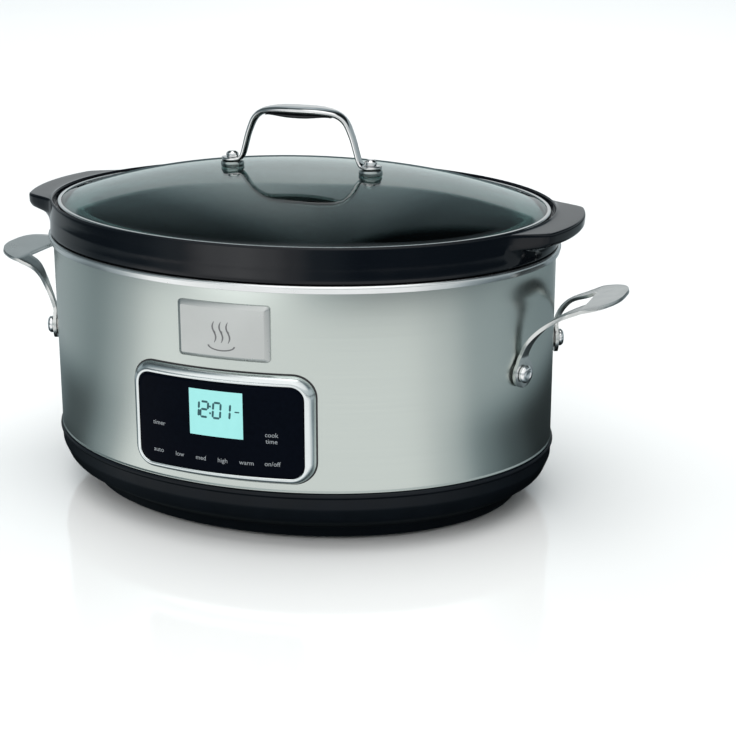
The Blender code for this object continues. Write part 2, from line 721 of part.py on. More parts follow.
def lid_handle_stations():
    """(x, z, slope, half width, half thickness) of the lid handle's right half, from middle to foot."""
    top = OVERALL_HEIGHT
    foot = handle_foot()
    return [
        (0.0000, top - 0.0033, 0, 0.0114, 0.0033),
        (0.0110, top - 0.0033, 1, 0.0106, 0.0030),
        (0.0205, top - 0.0036, 6, 0.0080, 0.0024),
        (0.0280, top - 0.0054, 24, 0.0052, 0.0021),
        (0.0334, top - 0.0100, 54, 0.0040, 0.0020),
        (0.0366, top - 0.0172, 70, 0.0036, 0.0018),
        (0.0396, foot + 0.0110, 74, 0.0036, 0.0017),
        (0.0415, foot + 0.0042, 66, 0.0038, 0.0016),
        (0.0438, foot + 0.0008, 28, 0.0044, 0.0014),
        (0.0462, foot, 0, 0.0066, 0.0013),
        (LID_BOSS_X, foot, 0, 0.0078, 0.0013),
        (0.0538, foot, 0, 0.0066, 0.0013),
        (0.0576, foot, 0, 0.0020, 0.0013),
    ]


def handle_section(x, z, slope, half_width, half_thick):
    """Ring of a flattened bar's section, square to its path, which falls by slope degrees."""
    down = math.radians(slope)
    ring = []
    for k in range(12):
        angle = 2 * math.pi * (k + 0.5) / 12
        across = half_width * math.copysign(abs(math.cos(angle)) ** 0.8, math.cos(angle))
        lift = half_thick * math.copysign(abs(math.sin(angle)) ** 0.8, math.sin(angle))
        ring.append((x + lift * math.sin(down), across, z + lift * math.cos(down)))
    return ring


def make_lid_handle(mats):
    right = lid_handle_stations()
    left = [(-x, z, -slope, half_width, thick) for x, z, slope, half_width, thick in reversed(right[1:])]
    rings = [handle_section(*station) for station in left + right]
    handle = loft("lid_handle", rings, mats["polished_steel"])
    places = [upright(sx * LID_BOSS_X, 0, handle_foot()) for sx in (-1, 1)]
    cut(handle, [bar(0.0026, 0.02, place, mats["zinc_steel"], 10) for place in places])


def make_lid_fasteners(mats):
    foot = handle_foot()
    head = foot + 0.0013 + GAP
    seat = dome_height(boss_share(-0.0079)) + GAP
    inside = dome_height(boss_share(0.0064)) - GLASS - 2 * GAP
    for side, sx in (("left", -1), ("right", 1)):
        place = upright(sx * LID_BOSS_X, 0, 0)
        boss = [
            (0.0030, seat),
            (0.0076, seat),
            (0.0080, seat + 0.0008),
            (0.0080, foot - 0.0022),
            (0.0074, foot - 0.0013 - GAP),
            (0.0030, foot - 0.0013 - GAP),
        ]
        turned(f"lid_boss_{side}", boss, mats["polished_steel"], place, closed=True, sides=16)
        screw = [
            (0.0022, inside - 0.0046),
            (0.0022, head),
            (0.0038, head),
            (0.0042, head + 0.0010),
            (0.0040, head + 0.0026),
            (0.0026, head + 0.0036),
            (0.0010, head + 0.0039),
        ]
        turned(f"lid_screw_{side}", screw, mats["chrome"], place)
        nut = [
            (0.0025, inside - 0.0040),
            (0.0058, inside - 0.0040),
            (0.0064, inside - 0.0030),
            (0.0064, inside),
            (0.0025, inside),
        ]
        turned(f"lid_nut_{side}", nut, mats["polished_steel"], place, closed=True)


def build():
    clear_scene()
    mats = make_materials()
    make_outer_housing(mats)
    make_rim_ring(mats)
    make_base_skirt(mats)
    make_bottom_cover(mats)
    make_feet(mats)
    make_cord_gland(mats)
    make_heating_liner(mats)
    make_heater(mats)
    make_centre_tie(mats)
    make_thermal_parts(mats)
    make_control_stack(mats)
    make_power_parts(mats)
    make_control_bezel(mats)
    make_badge(mats)
    make_side_handle("left", -1, mats)
    make_side_handle("right", 1, mats)
    make_side_handle_fasteners(mats)
    make_crock(mats)
    make_lid_glass(mats)
    make_lid_rim(mats)
    make_lid_handle(mats)
    make_lid_fasteners(mats)


build()
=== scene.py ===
"""Looks of the oval slow cooker: fine pieces, procedural materials, a pale studio and the camera."""

import json
import math

import bmesh
import bpy
from mathutils import Matrix, Vector


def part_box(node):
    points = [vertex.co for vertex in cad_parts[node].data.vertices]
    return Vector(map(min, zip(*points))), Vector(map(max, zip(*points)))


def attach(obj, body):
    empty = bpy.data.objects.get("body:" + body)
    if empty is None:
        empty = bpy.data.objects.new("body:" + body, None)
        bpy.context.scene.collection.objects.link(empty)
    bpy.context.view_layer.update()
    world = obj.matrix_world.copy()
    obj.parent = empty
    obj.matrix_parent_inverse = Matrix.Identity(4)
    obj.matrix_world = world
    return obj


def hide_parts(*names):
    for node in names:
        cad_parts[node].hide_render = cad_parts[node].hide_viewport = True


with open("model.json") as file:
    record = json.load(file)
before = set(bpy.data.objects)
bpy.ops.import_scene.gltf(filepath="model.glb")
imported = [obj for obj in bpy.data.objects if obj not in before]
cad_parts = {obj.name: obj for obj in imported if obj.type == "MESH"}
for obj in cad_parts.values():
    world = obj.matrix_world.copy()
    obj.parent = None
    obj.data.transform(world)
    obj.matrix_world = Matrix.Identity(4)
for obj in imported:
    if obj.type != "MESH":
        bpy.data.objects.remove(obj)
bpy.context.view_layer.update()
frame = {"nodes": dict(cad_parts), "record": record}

# ---- dimensions, from the frame where possible
WALL_LOW, WALL_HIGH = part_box("outer_housing")
RING_LOW, RING_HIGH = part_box("rim_ring")
CROCK_LOW, CROCK_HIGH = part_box("crock")
_, HANDLE_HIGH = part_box("lid_handle")
BOSS_LOW, BOSS_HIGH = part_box("lid_boss_right")
_, GRIP_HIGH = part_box("side_handle_right")
BADGE_LOW, BADGE_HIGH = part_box("badge_plate")
WINDOW_LOW, WINDOW_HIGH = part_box("control_window")

WALL_X, WALL_Y = WALL_HIGH.x, WALL_HIGH.y
WALL_BOTTOM, WALL_TOP = WALL_LOW.z, WALL_HIGH.z
RING_TOP = RING_HIGH.z
CROCK_TOP = CROCK_HIGH.z + 0.0008  # the finished lip stands a little above the CAD's
CROCK_FLOOR = CROCK_LOW.z
BOSS_X = (BOSS_LOW.x + BOSS_HIGH.x) / 2
OVERALL_TOP = HANDLE_HIGH.z

LINER_INSET = 0.0205
LINER_FLOOR = 0.0560
FLANGE_TOP = 0.1718
CROCK_THICKNESS = 0.0065
EAR_LENGTH = 0.0184
EAR_FULL = 0.0410
EAR_END = 0.0580
LEDGE = 0.1932
DOME_EDGE = 0.1975
DOME_RISE = 0.0218
DOME_POWER = 2.6
DOME_INSET = 0.0078
GLASS = 0.0036
PANEL_PROUD = 0.0062
PANEL_CORNER = 0.0085
STUD_Y = 0.0427
STUD_Z = 0.1060
TAB_MIDDLE = 0.0025
TAB_RADIUS = 0.0094
STRAP = 0.0023
ARM_HALF_WIDTH = 0.0036
GRIP_HALF_WIDTH = 0.0333
GRIP_TIP_Z = 0.1520
GAP = 0.0003
PANEL_FACE = PANEL_PROUD - 0.0006  # the window's face, out from the wrap
BADGE_FACE = 0.0033  # the badge's face, out from the wrap
LID_REACH_X, LID_REACH_Y = WALL_X - DOME_INSET, WALL_Y - DOME_INSET
STUD_WALL_X = WALL_X * math.sqrt(1 - (STUD_Y / WALL_Y) ** 2)  # where the wrap is at a stud
LABEL_SIZE = 0.0042
SEGMENTS = {"0": "abcdef", "1": "bc", "2": "abged"}  # the bars of each digit on the display

STEPS = 224  # points round the oval
ROUND = 48  # points round a turned piece
BRIDGE_SIDES = 28  # points round the lid's handle


# ---- materials
class Graph:
    """Short calls that add nodes to a node tree."""

    def __init__(self, tree):
        self.nodes, self.links = tree.nodes, tree.links

    def add(self, kind, values, result, **settings):
        """The result of a new node whose inputs are other nodes' results or plain values."""
        node = self.nodes.new(kind)
        for setting, value in settings.items():
            setattr(node, setting, value)
        for socket, value in values.items():
            if isinstance(value, bpy.types.NodeSocket):
                self.links.new(value, node.inputs[socket])
            else:
                node.inputs[socket].default_value = value
        return node.outputs[result]

    def math(self, kind, *values):
        return self.add("ShaderNodeMath", dict(enumerate(values)), "Value", operation=kind)

    def spread(self, value, low, high, start, end, kind="LINEAR"):
        """The value stretched from start..end to low..high."""
        values = {"Value": value, "From Min": start, "From Max": end, "To Min": low, "To Max": high}
        return self.add("ShaderNodeMapRange", values, "Result", interpolation_type=kind)

    def smooth(self, value, low, high, start=0.0, end=1.0):
        """start where the value is under low, end where it is over high, smooth between."""
        return self.spread(value, start, end, low, high, "SMOOTHSTEP")

    def mix(self, factor, a, b):
        """a where the factor is 0, b where it is 1."""
        return self.math("MULTIPLY_ADD", self.math("SUBTRACT", b, a), factor, a)

    def blend(self, factor, a, b):
        """Colour a where the factor is 0, b where it is 1."""
        values = {"Factor": factor, "A": (*a, 1.0), "B": (*b, 1.0)}
        return self.add("ShaderNodeMix", values, "Result", data_type="RGBA")

    def cool(self, level):
        """White where the level is high, a cooler tone where it is low."""
        return self.blend(self.smooth(level, 0.05, 1.0), (0.74, 0.94, 1.02), (1.0, 1.0, 1.0))

    def turn(self, x, y):
        """The angle of (x, y) round from (0, 1), in degrees: 0 there, 90 at (1, 0)."""
        return self.math("MULTIPLY", self.math("ARCTAN2", x, y), 180 / math.pi)

    def table(self, value, stops):
        """A smooth curve through (degrees, level) stops, over -180 to 180 degrees."""
        top = max(level for _, level in stops)
        share = self.math("MULTIPLY_ADD", value, 1 / 360, 0.5)
        ramp = self.nodes.new("ShaderNodeValToRGB")
        ramp.color_ramp.interpolation = "EASE"
        elements = ramp.color_ramp.elements
        for degrees, level in stops:
            if degrees in (-180, 180):
                element = elements[0 if degrees < 0 else -1]
            else:
                element = elements.new(degrees / 360 + 0.5)
            element.color = (level / top, level / top, level / top, 1.0)
        self.links.new(share, ramp.inputs["Fac"])
        return self.math("MULTIPLY", ramp.outputs["Color"], top)


class Look(Graph):
    """A Principled material with short calls that add texture nodes to it."""

    def __init__(self, name, colour, roughness, metallic=0.0, **sockets):
        self.material = bpy.data.materials.new(name)
        self.material.use_nodes = True
        super().__init__(self.material.node_tree)
        self.inputs = self.nodes["Principled BSDF"].inputs
        self.colour = colour
        self.inputs["Base Color"].default_value = (*colour, 1.0)
        self.inputs["Roughness"].default_value = roughness
        self.inputs["Metallic"].default_value = metallic
        for socket, value in sockets.items():
            self.inputs[socket.replace("_", " ")].default_value = value
        self.place = self.add("ShaderNodeTexCoord", {}, "Object")

    def noise(self, scale, detail=3.0, stretch=(1, 1, 1)):
        place = self.add("ShaderNodeMapping", {"Vector": self.place, "Scale": stretch}, "Vector")
        values = {"Vector": place, "Scale": scale, "Detail": detail, "Roughness": 0.5}
        return self.add("ShaderNodeTexNoise", values, "Fac")

    def vary_roughness(self, value, low, high):
        self.links.new(self.spread(value, low, high, 0.3, 0.7), self.inputs["Roughness"])

    def vary_colour(self, value, other, start=0.35, end=0.65):
        share = self.spread(value, 0.0, 1.0, start, end)
        self.links.new(self.blend(share, self.colour, other), self.inputs["Base Color"])

    def bump(self, value, strength, distance):
        values = {"Height": value, "Strength": strength, "Distance": distance}
        self.links.new(self.add("ShaderNodeBump", values, "Normal"), self.inputs["Normal"])

    def round_grain(self):
        """Brushing that runs round the vertical axis."""
        tangent = self.add("ShaderNodeTangent", {}, "Tangent", direction_type="RADIAL", axis="Z")
        self.links.new(tangent, self.inputs["Tangent"])


def wrap_steel():
    look = Look("wrap_steel", (0.565, 0.615, 0.585), 0.21, 1.0, Anisotropic=0.8)
    streaks = look.noise(1.0, 4.0, (5, 5, 1700))
    look.vary_roughness(streaks, 0.205, 0.225)
    look.vary_colour(look.noise(1.0, 3.0, (7, 7, 900)), (0.556, 0.606, 0.576), 0.3, 0.7)
    look.bump(streaks, 0.006, 0.00005)
    look.round_grain()
    return look.material


def steel(name, colour, low, high, scratch=0.04):
    look = Look(name, colour, low, 1.0)
    look.vary_roughness(look.noise(90, 4.0), low, high)
    look.vary_colour(look.noise(24, 3.0), tuple(c * 0.93 for c in colour))
    look.bump(look.noise(1400, 2.0), scratch, 0.00004)
    return look.material


def ring_silver():
    look = Look("ring_silver", (0.80, 0.82, 0.82), 0.24, 1.0)
    look.vary_roughness(look.noise(60, 4.0), 0.20, 0.28)
    look.vary_colour(look.noise(30, 3.0), (0.76, 0.785, 0.785))
    look.bump(look.noise(1800, 2.0), 0.04, 0.00004)
    return look.material


def glaze():
    look = Look("glaze_black", (0.0014, 0.0024, 0.0042), 0.07, 0.0, IOR=1.36)
    look.vary_roughness(look.noise(45, 5.0), 0.05, 0.10)
    look.vary_colour(look.noise(900, 2.0), (0.0024, 0.0036, 0.0058), 0.55, 0.75)
    look.bump(look.noise(170, 3.0), 0.06, 0.00025)
    return look.material


def lid_glass():
    look = Look("lid_glass", (0.56, 0.78, 0.75), 0.0, 0.0, IOR=1.5, Transmission_Weight=1.0)
    look.vary_roughness(look.noise(14, 4.0), 0.0, 0.015)
    look.bump(look.noise(9, 2.0), 0.02, 0.0006)
    return look.material


def plastic(name, colour, low, high, grain, grain_scale=1600, **sockets):
    look = Look(name, colour, low, **sockets)
    look.vary_roughness(look.noise(120, 4.0), low, high)
    look.vary_colour(look.noise(60, 3.0), tuple(c * 1.25 for c in colour))
    look.bump(look.noise(grain_scale, 3.0), grain, 0.00008)
    return look.material


def panel_gloss():
    look = Look("panel_gloss", (0.0006, 0.0014, 0.0036), 0.05, 0.0, Specular_IOR_Level=0.025)
    look.vary_roughness(look.noise(70, 4.0), 0.04, 0.08)
    look.vary_colour(look.noise(400, 2.0), (0.0009, 0.0019, 0.0045))
    return look.material


def lit(name, colour, other, glow, strength, scale=220):
    look = Look(name, colour, 0.25, 0.0, Coat_Weight=0.6, Coat_Roughness=0.05)
    look.vary_colour(look.noise(scale, 2.0), other)
    look.inputs["Emission Color"].default_value = (*glow, 1.0)
    look.inputs["Emission Strength"].default_value = strength
    return look.material


def floor_white():
    look = Look("floor_white", (0.80, 0.81, 0.805), 0.09, 0.0, IOR=3.3)
    look.vary_roughness(look.noise(2.0, 3.0), 0.08, 0.10)
    look.vary_colour(look.noise(1.2, 3.0), (0.79, 0.80, 0.795))
    return look.material


WRAP = wrap_steel()
RING = ring_silver()
POLISHED = steel("polished_steel_look", (0.78, 0.79, 0.79), 0.07, 0.12)
SATIN = steel("satin_steel_look", (0.63, 0.65, 0.64), 0.20, 0.28)
CHROME = steel("chrome_look", (0.86, 0.87, 0.875), 0.04, 0.08)
BADGE = steel("badge_steel", (0.55, 0.575, 0.565), 0.27, 0.31, 0.015)
BOSS = steel("boss_steel", (0.34, 0.385, 0.38), 0.09, 0.14)
BEZEL = steel("bezel_silver", (0.78, 0.83, 0.83), 0.17, 0.20, 0.02)
ETCHED = steel("etched_steel", (0.20, 0.205, 0.21), 0.34, 0.42)
ALUMINIUM = steel("aluminium_look", (0.62, 0.63, 0.635), 0.34, 0.46, 0.10)
ZINC = steel("zinc_look", (0.50, 0.50, 0.48), 0.34, 0.46)
COPPER = steel("copper_look", (0.60, 0.30, 0.16), 0.30, 0.40)
GLAZE = glaze()
LID_GLASS = lid_glass()
BOWL = plastic("bowl_black", (0.0022, 0.0036, 0.0056), 0.34, 0.44, 0.08, Specular_IOR_Level=0.22)
BLACK = plastic("black_plastic_look", (0.0034, 0.0044, 0.0056), 0.32, 0.42, 0.10)
RUBBER = plastic("rubber_look", (0.016, 0.016, 0.017), 0.70, 0.84, 0.20)
PANEL = panel_gloss()
LCD = lit("lcd_cyan", (0.10, 0.28, 0.27), (0.09, 0.265, 0.255), (0.47, 1.0, 0.98), 0.46)
LCD_INK = plastic("lcd_ink", (0.006, 0.055, 0.065), 0.30, 0.36, 0.02)
# the printed words glow faintly (emission 0.04): painted light on print
LABEL_WITH_PAINTED_GLOW = lit("label_grey_painted_glow", (0.20, 0.22, 0.235), (0.18, 0.20, 0.215), (0.5, 0.54, 0.56), 0.04)
BOARD = plastic("board_look", (0.02, 0.12, 0.05), 0.40, 0.50, 0.04, 500)
COMPONENT = plastic("component_look", (0.03, 0.035, 0.05), 0.40, 0.50, 0.08)
MICA = plastic("mica_look", (0.50, 0.44, 0.34), 0.60, 0.75, 0.20, 300)
DIFFUSER = plastic("diffuser_look", (0.80, 0.90, 0.90), 0.35, 0.45, 0.02)

SLOT_LOOKS = {
    "brushed_steel": WRAP,
    "polished_steel": POLISHED,
    "silver_trim": RING,
    "chrome": CHROME,
    "zinc_steel": ZINC,
    "aluminium": ALUMINIUM,
    "black_glaze": GLAZE,
    "smoked_glass": LID_GLASS,
    "black_plastic": BLACK,
    "panel_glass": PANEL,
    "display": LCD,
    "backlight": DIFFUSER,
    "board": BOARD,
    "component": COMPONENT,
    "copper": COPPER,
    "mica": MICA,
    "rubber": RUBBER,
}


# ---- mesh helpers
def weld(mesh):
    """Merges doubled points and turns every face outwards."""
    shape = bmesh.new()
    shape.from_mesh(mesh)
    bmesh.ops.remove_doubles(shape, verts=shape.verts, dist=1e-7)
    bmesh.ops.recalc_face_normals(shape, faces=shape.faces)
    shape.to_mesh(mesh)
    shape.free()


def link_piece(name, mesh, look, body):
    """An object of the mesh, with its look, that rides on a body."""
    mesh.materials.append(look)
    obj = bpy.data.objects.new(name, mesh)
    bpy.context.collection.objects.link(obj)
    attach(obj, body)
    return obj


def add_piece(name, shape, look, body, replaces=(), sharp=40):
    """A smooth piece of (points, faces), left sharp where faces meet at more than sharp degrees."""
    points, faces = shape
    mesh = bpy.data.meshes.new(name)
    mesh.from_pydata([tuple(point) for point in points], [], faces)
    weld(mesh)
    mesh.shade_smooth()
    mesh.set_sharp_from_angle(angle=math.radians(sharp))
    obj = link_piece(name, mesh, look, body)
    if replaces:
        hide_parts(*replaces)
    return obj


def skin(rings, closed=False):
    """Points and faces over rings of equal point count."""
    count = len(rings[0])
    points = [point for ring in rings for point in ring]
    faces = []
    for i in range(len(rings) if closed else len(rings) - 1):
        low, high = i * count, ((i + 1) % len(rings)) * count
        for k in range(count):
            after = (k + 1) % count
            faces.append((low + k, low + after, high + after, high + k))
    if not closed:
        faces.append(tuple(range(count)))
        faces.append(tuple(range((len(rings) - 1) * count, len(rings) * count)))
    return points, faces


def rounded(corners, steps=6, closed=True):
    """A section's (u, v, radius) corners, with each radius drawn as an arc."""
    out = []
    total = len(corners)
    for i, (u, v, radius) in enumerate(corners):
        if radius <= 0 or (not closed and i in (0, total - 1)):
            out.append((u, v))
            continue
        here = Vector((u, v))
        before = Vector(corners[i - 1][:2]) - here
        after = Vector(corners[(i + 1) % total][:2]) - here
        angle = before.angle(after)
        reach = radius / math.tan(angle / 2)
        reach = min(reach, before.length * 0.49, after.length * 0.49)
        radius = reach * math.tan(angle / 2)
        middle = (before.normalized() + after.normalized()).normalized()
        centre = here + middle * (radius / math.sin(angle / 2))
        start = here + before.normalized() * reach - centre
        end = here + after.normalized() * reach - centre
        turn = start.angle_signed(end)
        for k in range(steps + 1):
            spin = Matrix.Rotation(-turn * k / steps, 2)
            out.append(tuple(centre + spin @ start))
    return out


def circle(count, start=0.0):
    """(cosine, sine) of evenly spaced angles."""
    angles = (2 * math.pi * (k + start) / count for k in range(count))
    return [(math.cos(angle), math.sin(angle)) for angle in angles]


def oval_ring(inset, z):
    """The oval at one height, inset from the outside of the wrap."""
    return [((WALL_X - inset) * x, (WALL_Y - inset) * y, z) for x, y in circle(STEPS)]


def oval_piece(name, corners, look, body, replaces=(), closed=True):
    """A piece that runs round the oval. Its section is drawn by (inset, z, radius) corners."""
    rings = [oval_ring(inset, z) for inset, z in rounded(corners, closed=closed)]
    return add_piece(name, skin(rings, closed), look, body, replaces)


def turned(name, profile, look, place, body, replaces=(), closed=False):
    """A piece turned about its local Z from (radius, z) points."""
    sides = circle(ROUND, 0.5)
    rings = [[place @ Vector((radius * x, radius * y, z)) for x, y in sides] for radius, z in profile]
    return add_piece(name, skin(rings, closed), look, body, replaces)


def front_y(x, outset):
    """Y of the wrap's front, moved outwards by outset."""
    return -(WALL_Y + outset) * math.sqrt(1 - (x / (WALL_X + outset)) ** 2)


def rounded_loop(half_width, bottom, top, radius, corner=10, side=28):
    """(x, z) points round a rounded rectangle, dense enough along its long sides to follow the wrap."""
    middle, half_height = (bottom + top) / 2, (top - bottom) / 2
    points = []
    for sx, sz, start in ((1, 1, 0), (-1, 1, 90), (-1, -1, 180), (1, -1, 270)):
        cx, cz = sx * (half_width - radius), middle + sz * (half_height - radius)
        for k in range(corner + 1):
            angle = math.radians(start + 90 * k / corner)
            points.append((cx + radius * math.cos(angle), cz + radius * math.sin(angle)))
        if start in (0, 180):
            reach = half_width - radius
            z = points[-1][1]
            for k in range(1, side):
                points.append((sx * (reach - 2 * reach * k / side), z))
    return points


def wrapped_loop(centre, half_width, bottom, top, radius, outset):
    """A rounded rectangle laid round the wrap's front, moved outwards by outset."""
    loop = rounded_loop(half_width, bottom, top, radius)
    return [(x + centre, front_y(x + centre, outset), z) for x, z in loop]


def smooth(value):
    value = min(max(value, 0.0), 1.0)
    return value * value * (3 - 2 * value)


def along(values, t):
    """Catmull-Rom value at t (0 to 1) through evenly spaced values."""
    last = len(values) - 1
    at = min(max(t, 0.0), 1.0) * last
    i = min(int(at), last - 1)
    s = at - i
    a, b, c, d = (values[min(max(i + k, 0), last)] for k in (-1, 0, 1, 2))
    square, cube = 2 * a - 5 * b + 4 * c - d, 3 * b - a - 3 * c + d
    return 0.5 * (2 * b + (c - a) * s + square * s * s + cube * s**3)


# ---- shell
def make_wrap():
    section = [
        (-0.0004, WALL_BOTTOM, 0.0003),
        (-0.0004, WALL_BOTTOM + 0.0005, 0.0004),
        (0.0, WALL_BOTTOM + 0.0016, 0.0008),
        (0.0, WALL_TOP, 0.0004),
        (0.0010, WALL_TOP, 0.0),
        (0.0010, WALL_BOTTOM, 0.0),
    ]
    oval_piece("wrap", section, WRAP, "base", ["outer_housing"])


def make_ring():
    low, out = RING_LOW.z, WALL_X - RING_HIGH.x
    section = [
        (-0.0004, low, 0.0),
        (out + 0.0009, low, 0.0004),
        (out, RING_TOP - 0.0012, 0.0012),
        (out + 0.0014, RING_TOP, 0.0012),
        (0.0085, RING_TOP, 0.0004),
        (0.0085, FLANGE_TOP + 0.0004, 0.0),
        (-0.0004, FLANGE_TOP + 0.0004, 0.0),
    ]
    oval_piece("ring", section, RING, "base", ["rim_ring"])


def make_base():
    section = [
        (0.0030, 0.0410, 0.0),
        (-0.0012, 0.0410, 0.0010),
        (-0.0016, 0.0388, 0.0010),
        (-0.0004, 0.0374, 0.0004),
        (-0.0002, 0.0300, 0.0060),
        (0.0040, 0.0200, 0.0080),
        (0.0160, 0.0126, 0.0020),
        (0.0186, 0.0112, 0.0010),
        (0.0222, 0.0032, 0.0012),
        (0.0250, 0.0026, 0.0010),
        (0.0278, 0.0032, 0.0),
        (0.0278, 0.0090, 0.0),
        (0.0130, 0.0178, 0.0),
        (0.0042, 0.0270, 0.0),
    ]
    oval_piece("base_bowl", section, BOWL, "base", ["base_skirt"])


def make_feet():
    profile = [(0.0046, 0.0), (0.0080, 0.0), (0.0088, 0.0003), (0.0090, 0.0009)]
    profile += [(0.0090, 0.0036), (0.0021, 0.0036), (0.0021, 0.0024), (0.0046, 0.0024)]
    for y_name in ("front", "rear"):
        for x_name in ("left", "right"):
            low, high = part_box(f"foot_{y_name}_{x_name}")
            place = Matrix.Translation(((low.x + high.x) / 2, (low.y + high.y) / 2, 0))
            name = f"foot_pad_{y_name}_{x_name}"
            turned(name, profile, RUBBER, place, "base", [f"foot_{y_name}_{x_name}"], True)


def make_gland():
    low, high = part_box("cord_gland")
    place = Matrix.Translation((0, WALL_Y, (low.z + high.z) / 2)) @ Matrix.Rotation(-math.pi / 2, 4, "X")
    end = PANEL_PROUD
    profile = [(0.0056, -0.0085), (0.0056, 0.0008), (0.0077, 0.0009), (0.0080, 0.0013), (0.0080, 0.0027)]
    profile += [(0.0077, 0.0031), (0.0060, 0.0033), (0.0058, 0.0038), (0.0060, 0.0042), (0.0057, 0.0047)]
    profile += [(0.0054, 0.0052), (0.0050, end - 0.0003), (0.0046, end), (0.0030, end)]
    profile += [(0.0030, end - 0.0020)]
    turned("mains_bush", profile, RUBBER, place, "base", ["cord_gland"])


def make_liner():
    draft = 0.004
    inner = LINER_INSET
    section = [
        (inner + draft + 0.040, LINER_FLOOR, 0.0),
        (inner + draft, LINER_FLOOR, 0.0080),
        (inner, FLANGE_TOP, 0.0030),
        (0.0015, FLANGE_TOP, 0.0),
        (0.0015, FLANGE_TOP - 0.0010, 0.0),
        (inner - 0.0012, FLANGE_TOP - 0.0010, 0.0020),
        (inner + draft - 0.0012, LINER_FLOOR - 0.0010, 0.0080),
        (inner + draft + 0.040, LINER_FLOOR - 0.0010, 0.0),
    ]
    oval_piece("liner", section, ALUMINIUM, "base", ["heating_liner"], closed=False)


# ---- control panel
def window_loop(side, below, above, corner, outset):
    """A rounded loop round the control window, grown by its own amount on each side."""
    half, low, high = WINDOW_HIGH.x + side, WINDOW_LOW.z - below, WINDOW_HIGH.z + above
    return wrapped_loop(0, half, low, high, corner, outset)


def make_window():
    # (shrink, back from the face): the rounded edge, then rows that keep the face curved like the wrap
    section = [(0.0, 0.0024), (0.0, 0.0003), (0.00012, 0.00009), (0.0003, 0.0)]
    section += [(shrink, 0.0) for shrink in (0.003, 0.008, 0.014, 0.020, 0.0275)]
    loops = []
    for shrink, back in section:
        corner = max(PANEL_CORNER - shrink, 0.0015)
        loops.append(window_loop(-shrink, -shrink, -shrink, corner, PANEL_FACE - back))
    add_piece("panel_window", skin(loops), PANEL, "base", ["control_window"], 60)


def make_bezel():
    # (side, below, above, corner, outset): from the wrap, over the convex face, to the window
    section = (
        (0.0058, 0.0052, 0.0066, 0.0060, 0.0001),
        (0.0057, 0.0051, 0.0065, 0.0059, 0.0012),
        (0.0054, 0.0048, 0.0061, 0.0056, 0.0024),
        (0.0049, 0.0044, 0.0055, 0.0050, 0.0036),
        (0.0042, 0.0038, 0.0046, 0.0042, 0.0047),
        (0.0034, 0.0031, 0.0036, 0.0033, 0.0055),
        (0.0026, 0.0024, 0.0027, 0.0025, 0.0060),
        (0.0018, 0.0017, 0.0018, 0.0018, 0.0062),
        (0.0010, 0.0010, 0.0010, 0.0010, 0.0061),
        (0.0005, 0.0005, 0.0005, 0.0005, 0.0058),
        (0.0003, 0.0003, 0.0003, 0.0003, 0.0053),
        (0.0003, 0.0003, 0.0003, 0.0003, 0.0020),
    )
    loops = []
    for side, below, above, corner, outset in section:
        loops.append(window_loop(side, below, above, PANEL_CORNER + corner, outset))
    add_piece("panel_bezel", skin(loops, closed=True), BEZEL, "base", ["control_bezel"], 60)


def make_painted_shadow_gap():
    """A thin black strip between the bezel and the wrap: painted shade, drawing the shadow gap there."""
    loops = []
    for grow, outset in ((0.0052, 0.0001), (0.0064, 0.0001), (0.0064, 0.0006), (0.0052, 0.0006)):
        loops.append(window_loop(grow, grow - 0.0006, grow + 0.0008, PANEL_CORNER + grow, outset))
    add_piece("panel_painted_shadow_gap", skin(loops, closed=True), RUBBER, "base", (), 60)


def panel_patch(name, outline, look, outset, thickness, replaces=()):
    """A thin flat piece that follows the wrap's curve. The outline is (x, z) points, in order."""
    back = [(x, front_y(x, outset), z) for x, z in outline]
    front = [(x, front_y(x, outset + thickness), z) for x, z in outline]
    return add_piece(name, skin([back, front]), look, "base", replaces, 30)


def join_pieces(name, pieces, look):
    """One piece made of the meshes of several."""
    shape = bmesh.new()
    for piece in pieces:
        shape.from_mesh(piece.data)
        bpy.data.objects.remove(piece, do_unlink=True)
    mesh = bpy.data.meshes.new(name)
    shape.to_mesh(mesh)
    shape.free()
    return link_piece(name, mesh, look, "base")


def segment_outline(which, x, z, width, height, thick):
    """Six-cornered outline of one of a digit's seven bars."""
    half = height / 2
    lean = 0.08
    bars = {
        "a": ((0, height), (width, height)),
        "b": ((width, height), (width, half)),
        "c": ((width, half), (width, 0)),
        "d": ((0, 0), (width, 0)),
        "e": ((0, half), (0, 0)),
        "f": ((0, height), (0, half)),
        "g": ((0, half), (width, half)),
    }
    (x0, z0), (x1, z1) = bars[which]
    direction = Vector((x1 - x0, z1 - z0)).normalized()
    side = Vector((-direction.y, direction.x)) * thick / 2
    gap = direction * thick * 0.12
    start, end = Vector((x0, z0)) + gap, Vector((x1, z1)) - gap
    tip = direction * thick / 2
    corners = [start, start + tip + side, end - tip + side, end, end - tip - side, start + tip - side]
    return [(x + c.x + lean * c.y, z + c.y) for c in corners]


def ink_patch(outline):
    """A printed shape on the display, just above its face."""
    return panel_patch("ink", outline, LCD_INK, PANEL_FACE + 0.00014, 0.00005)


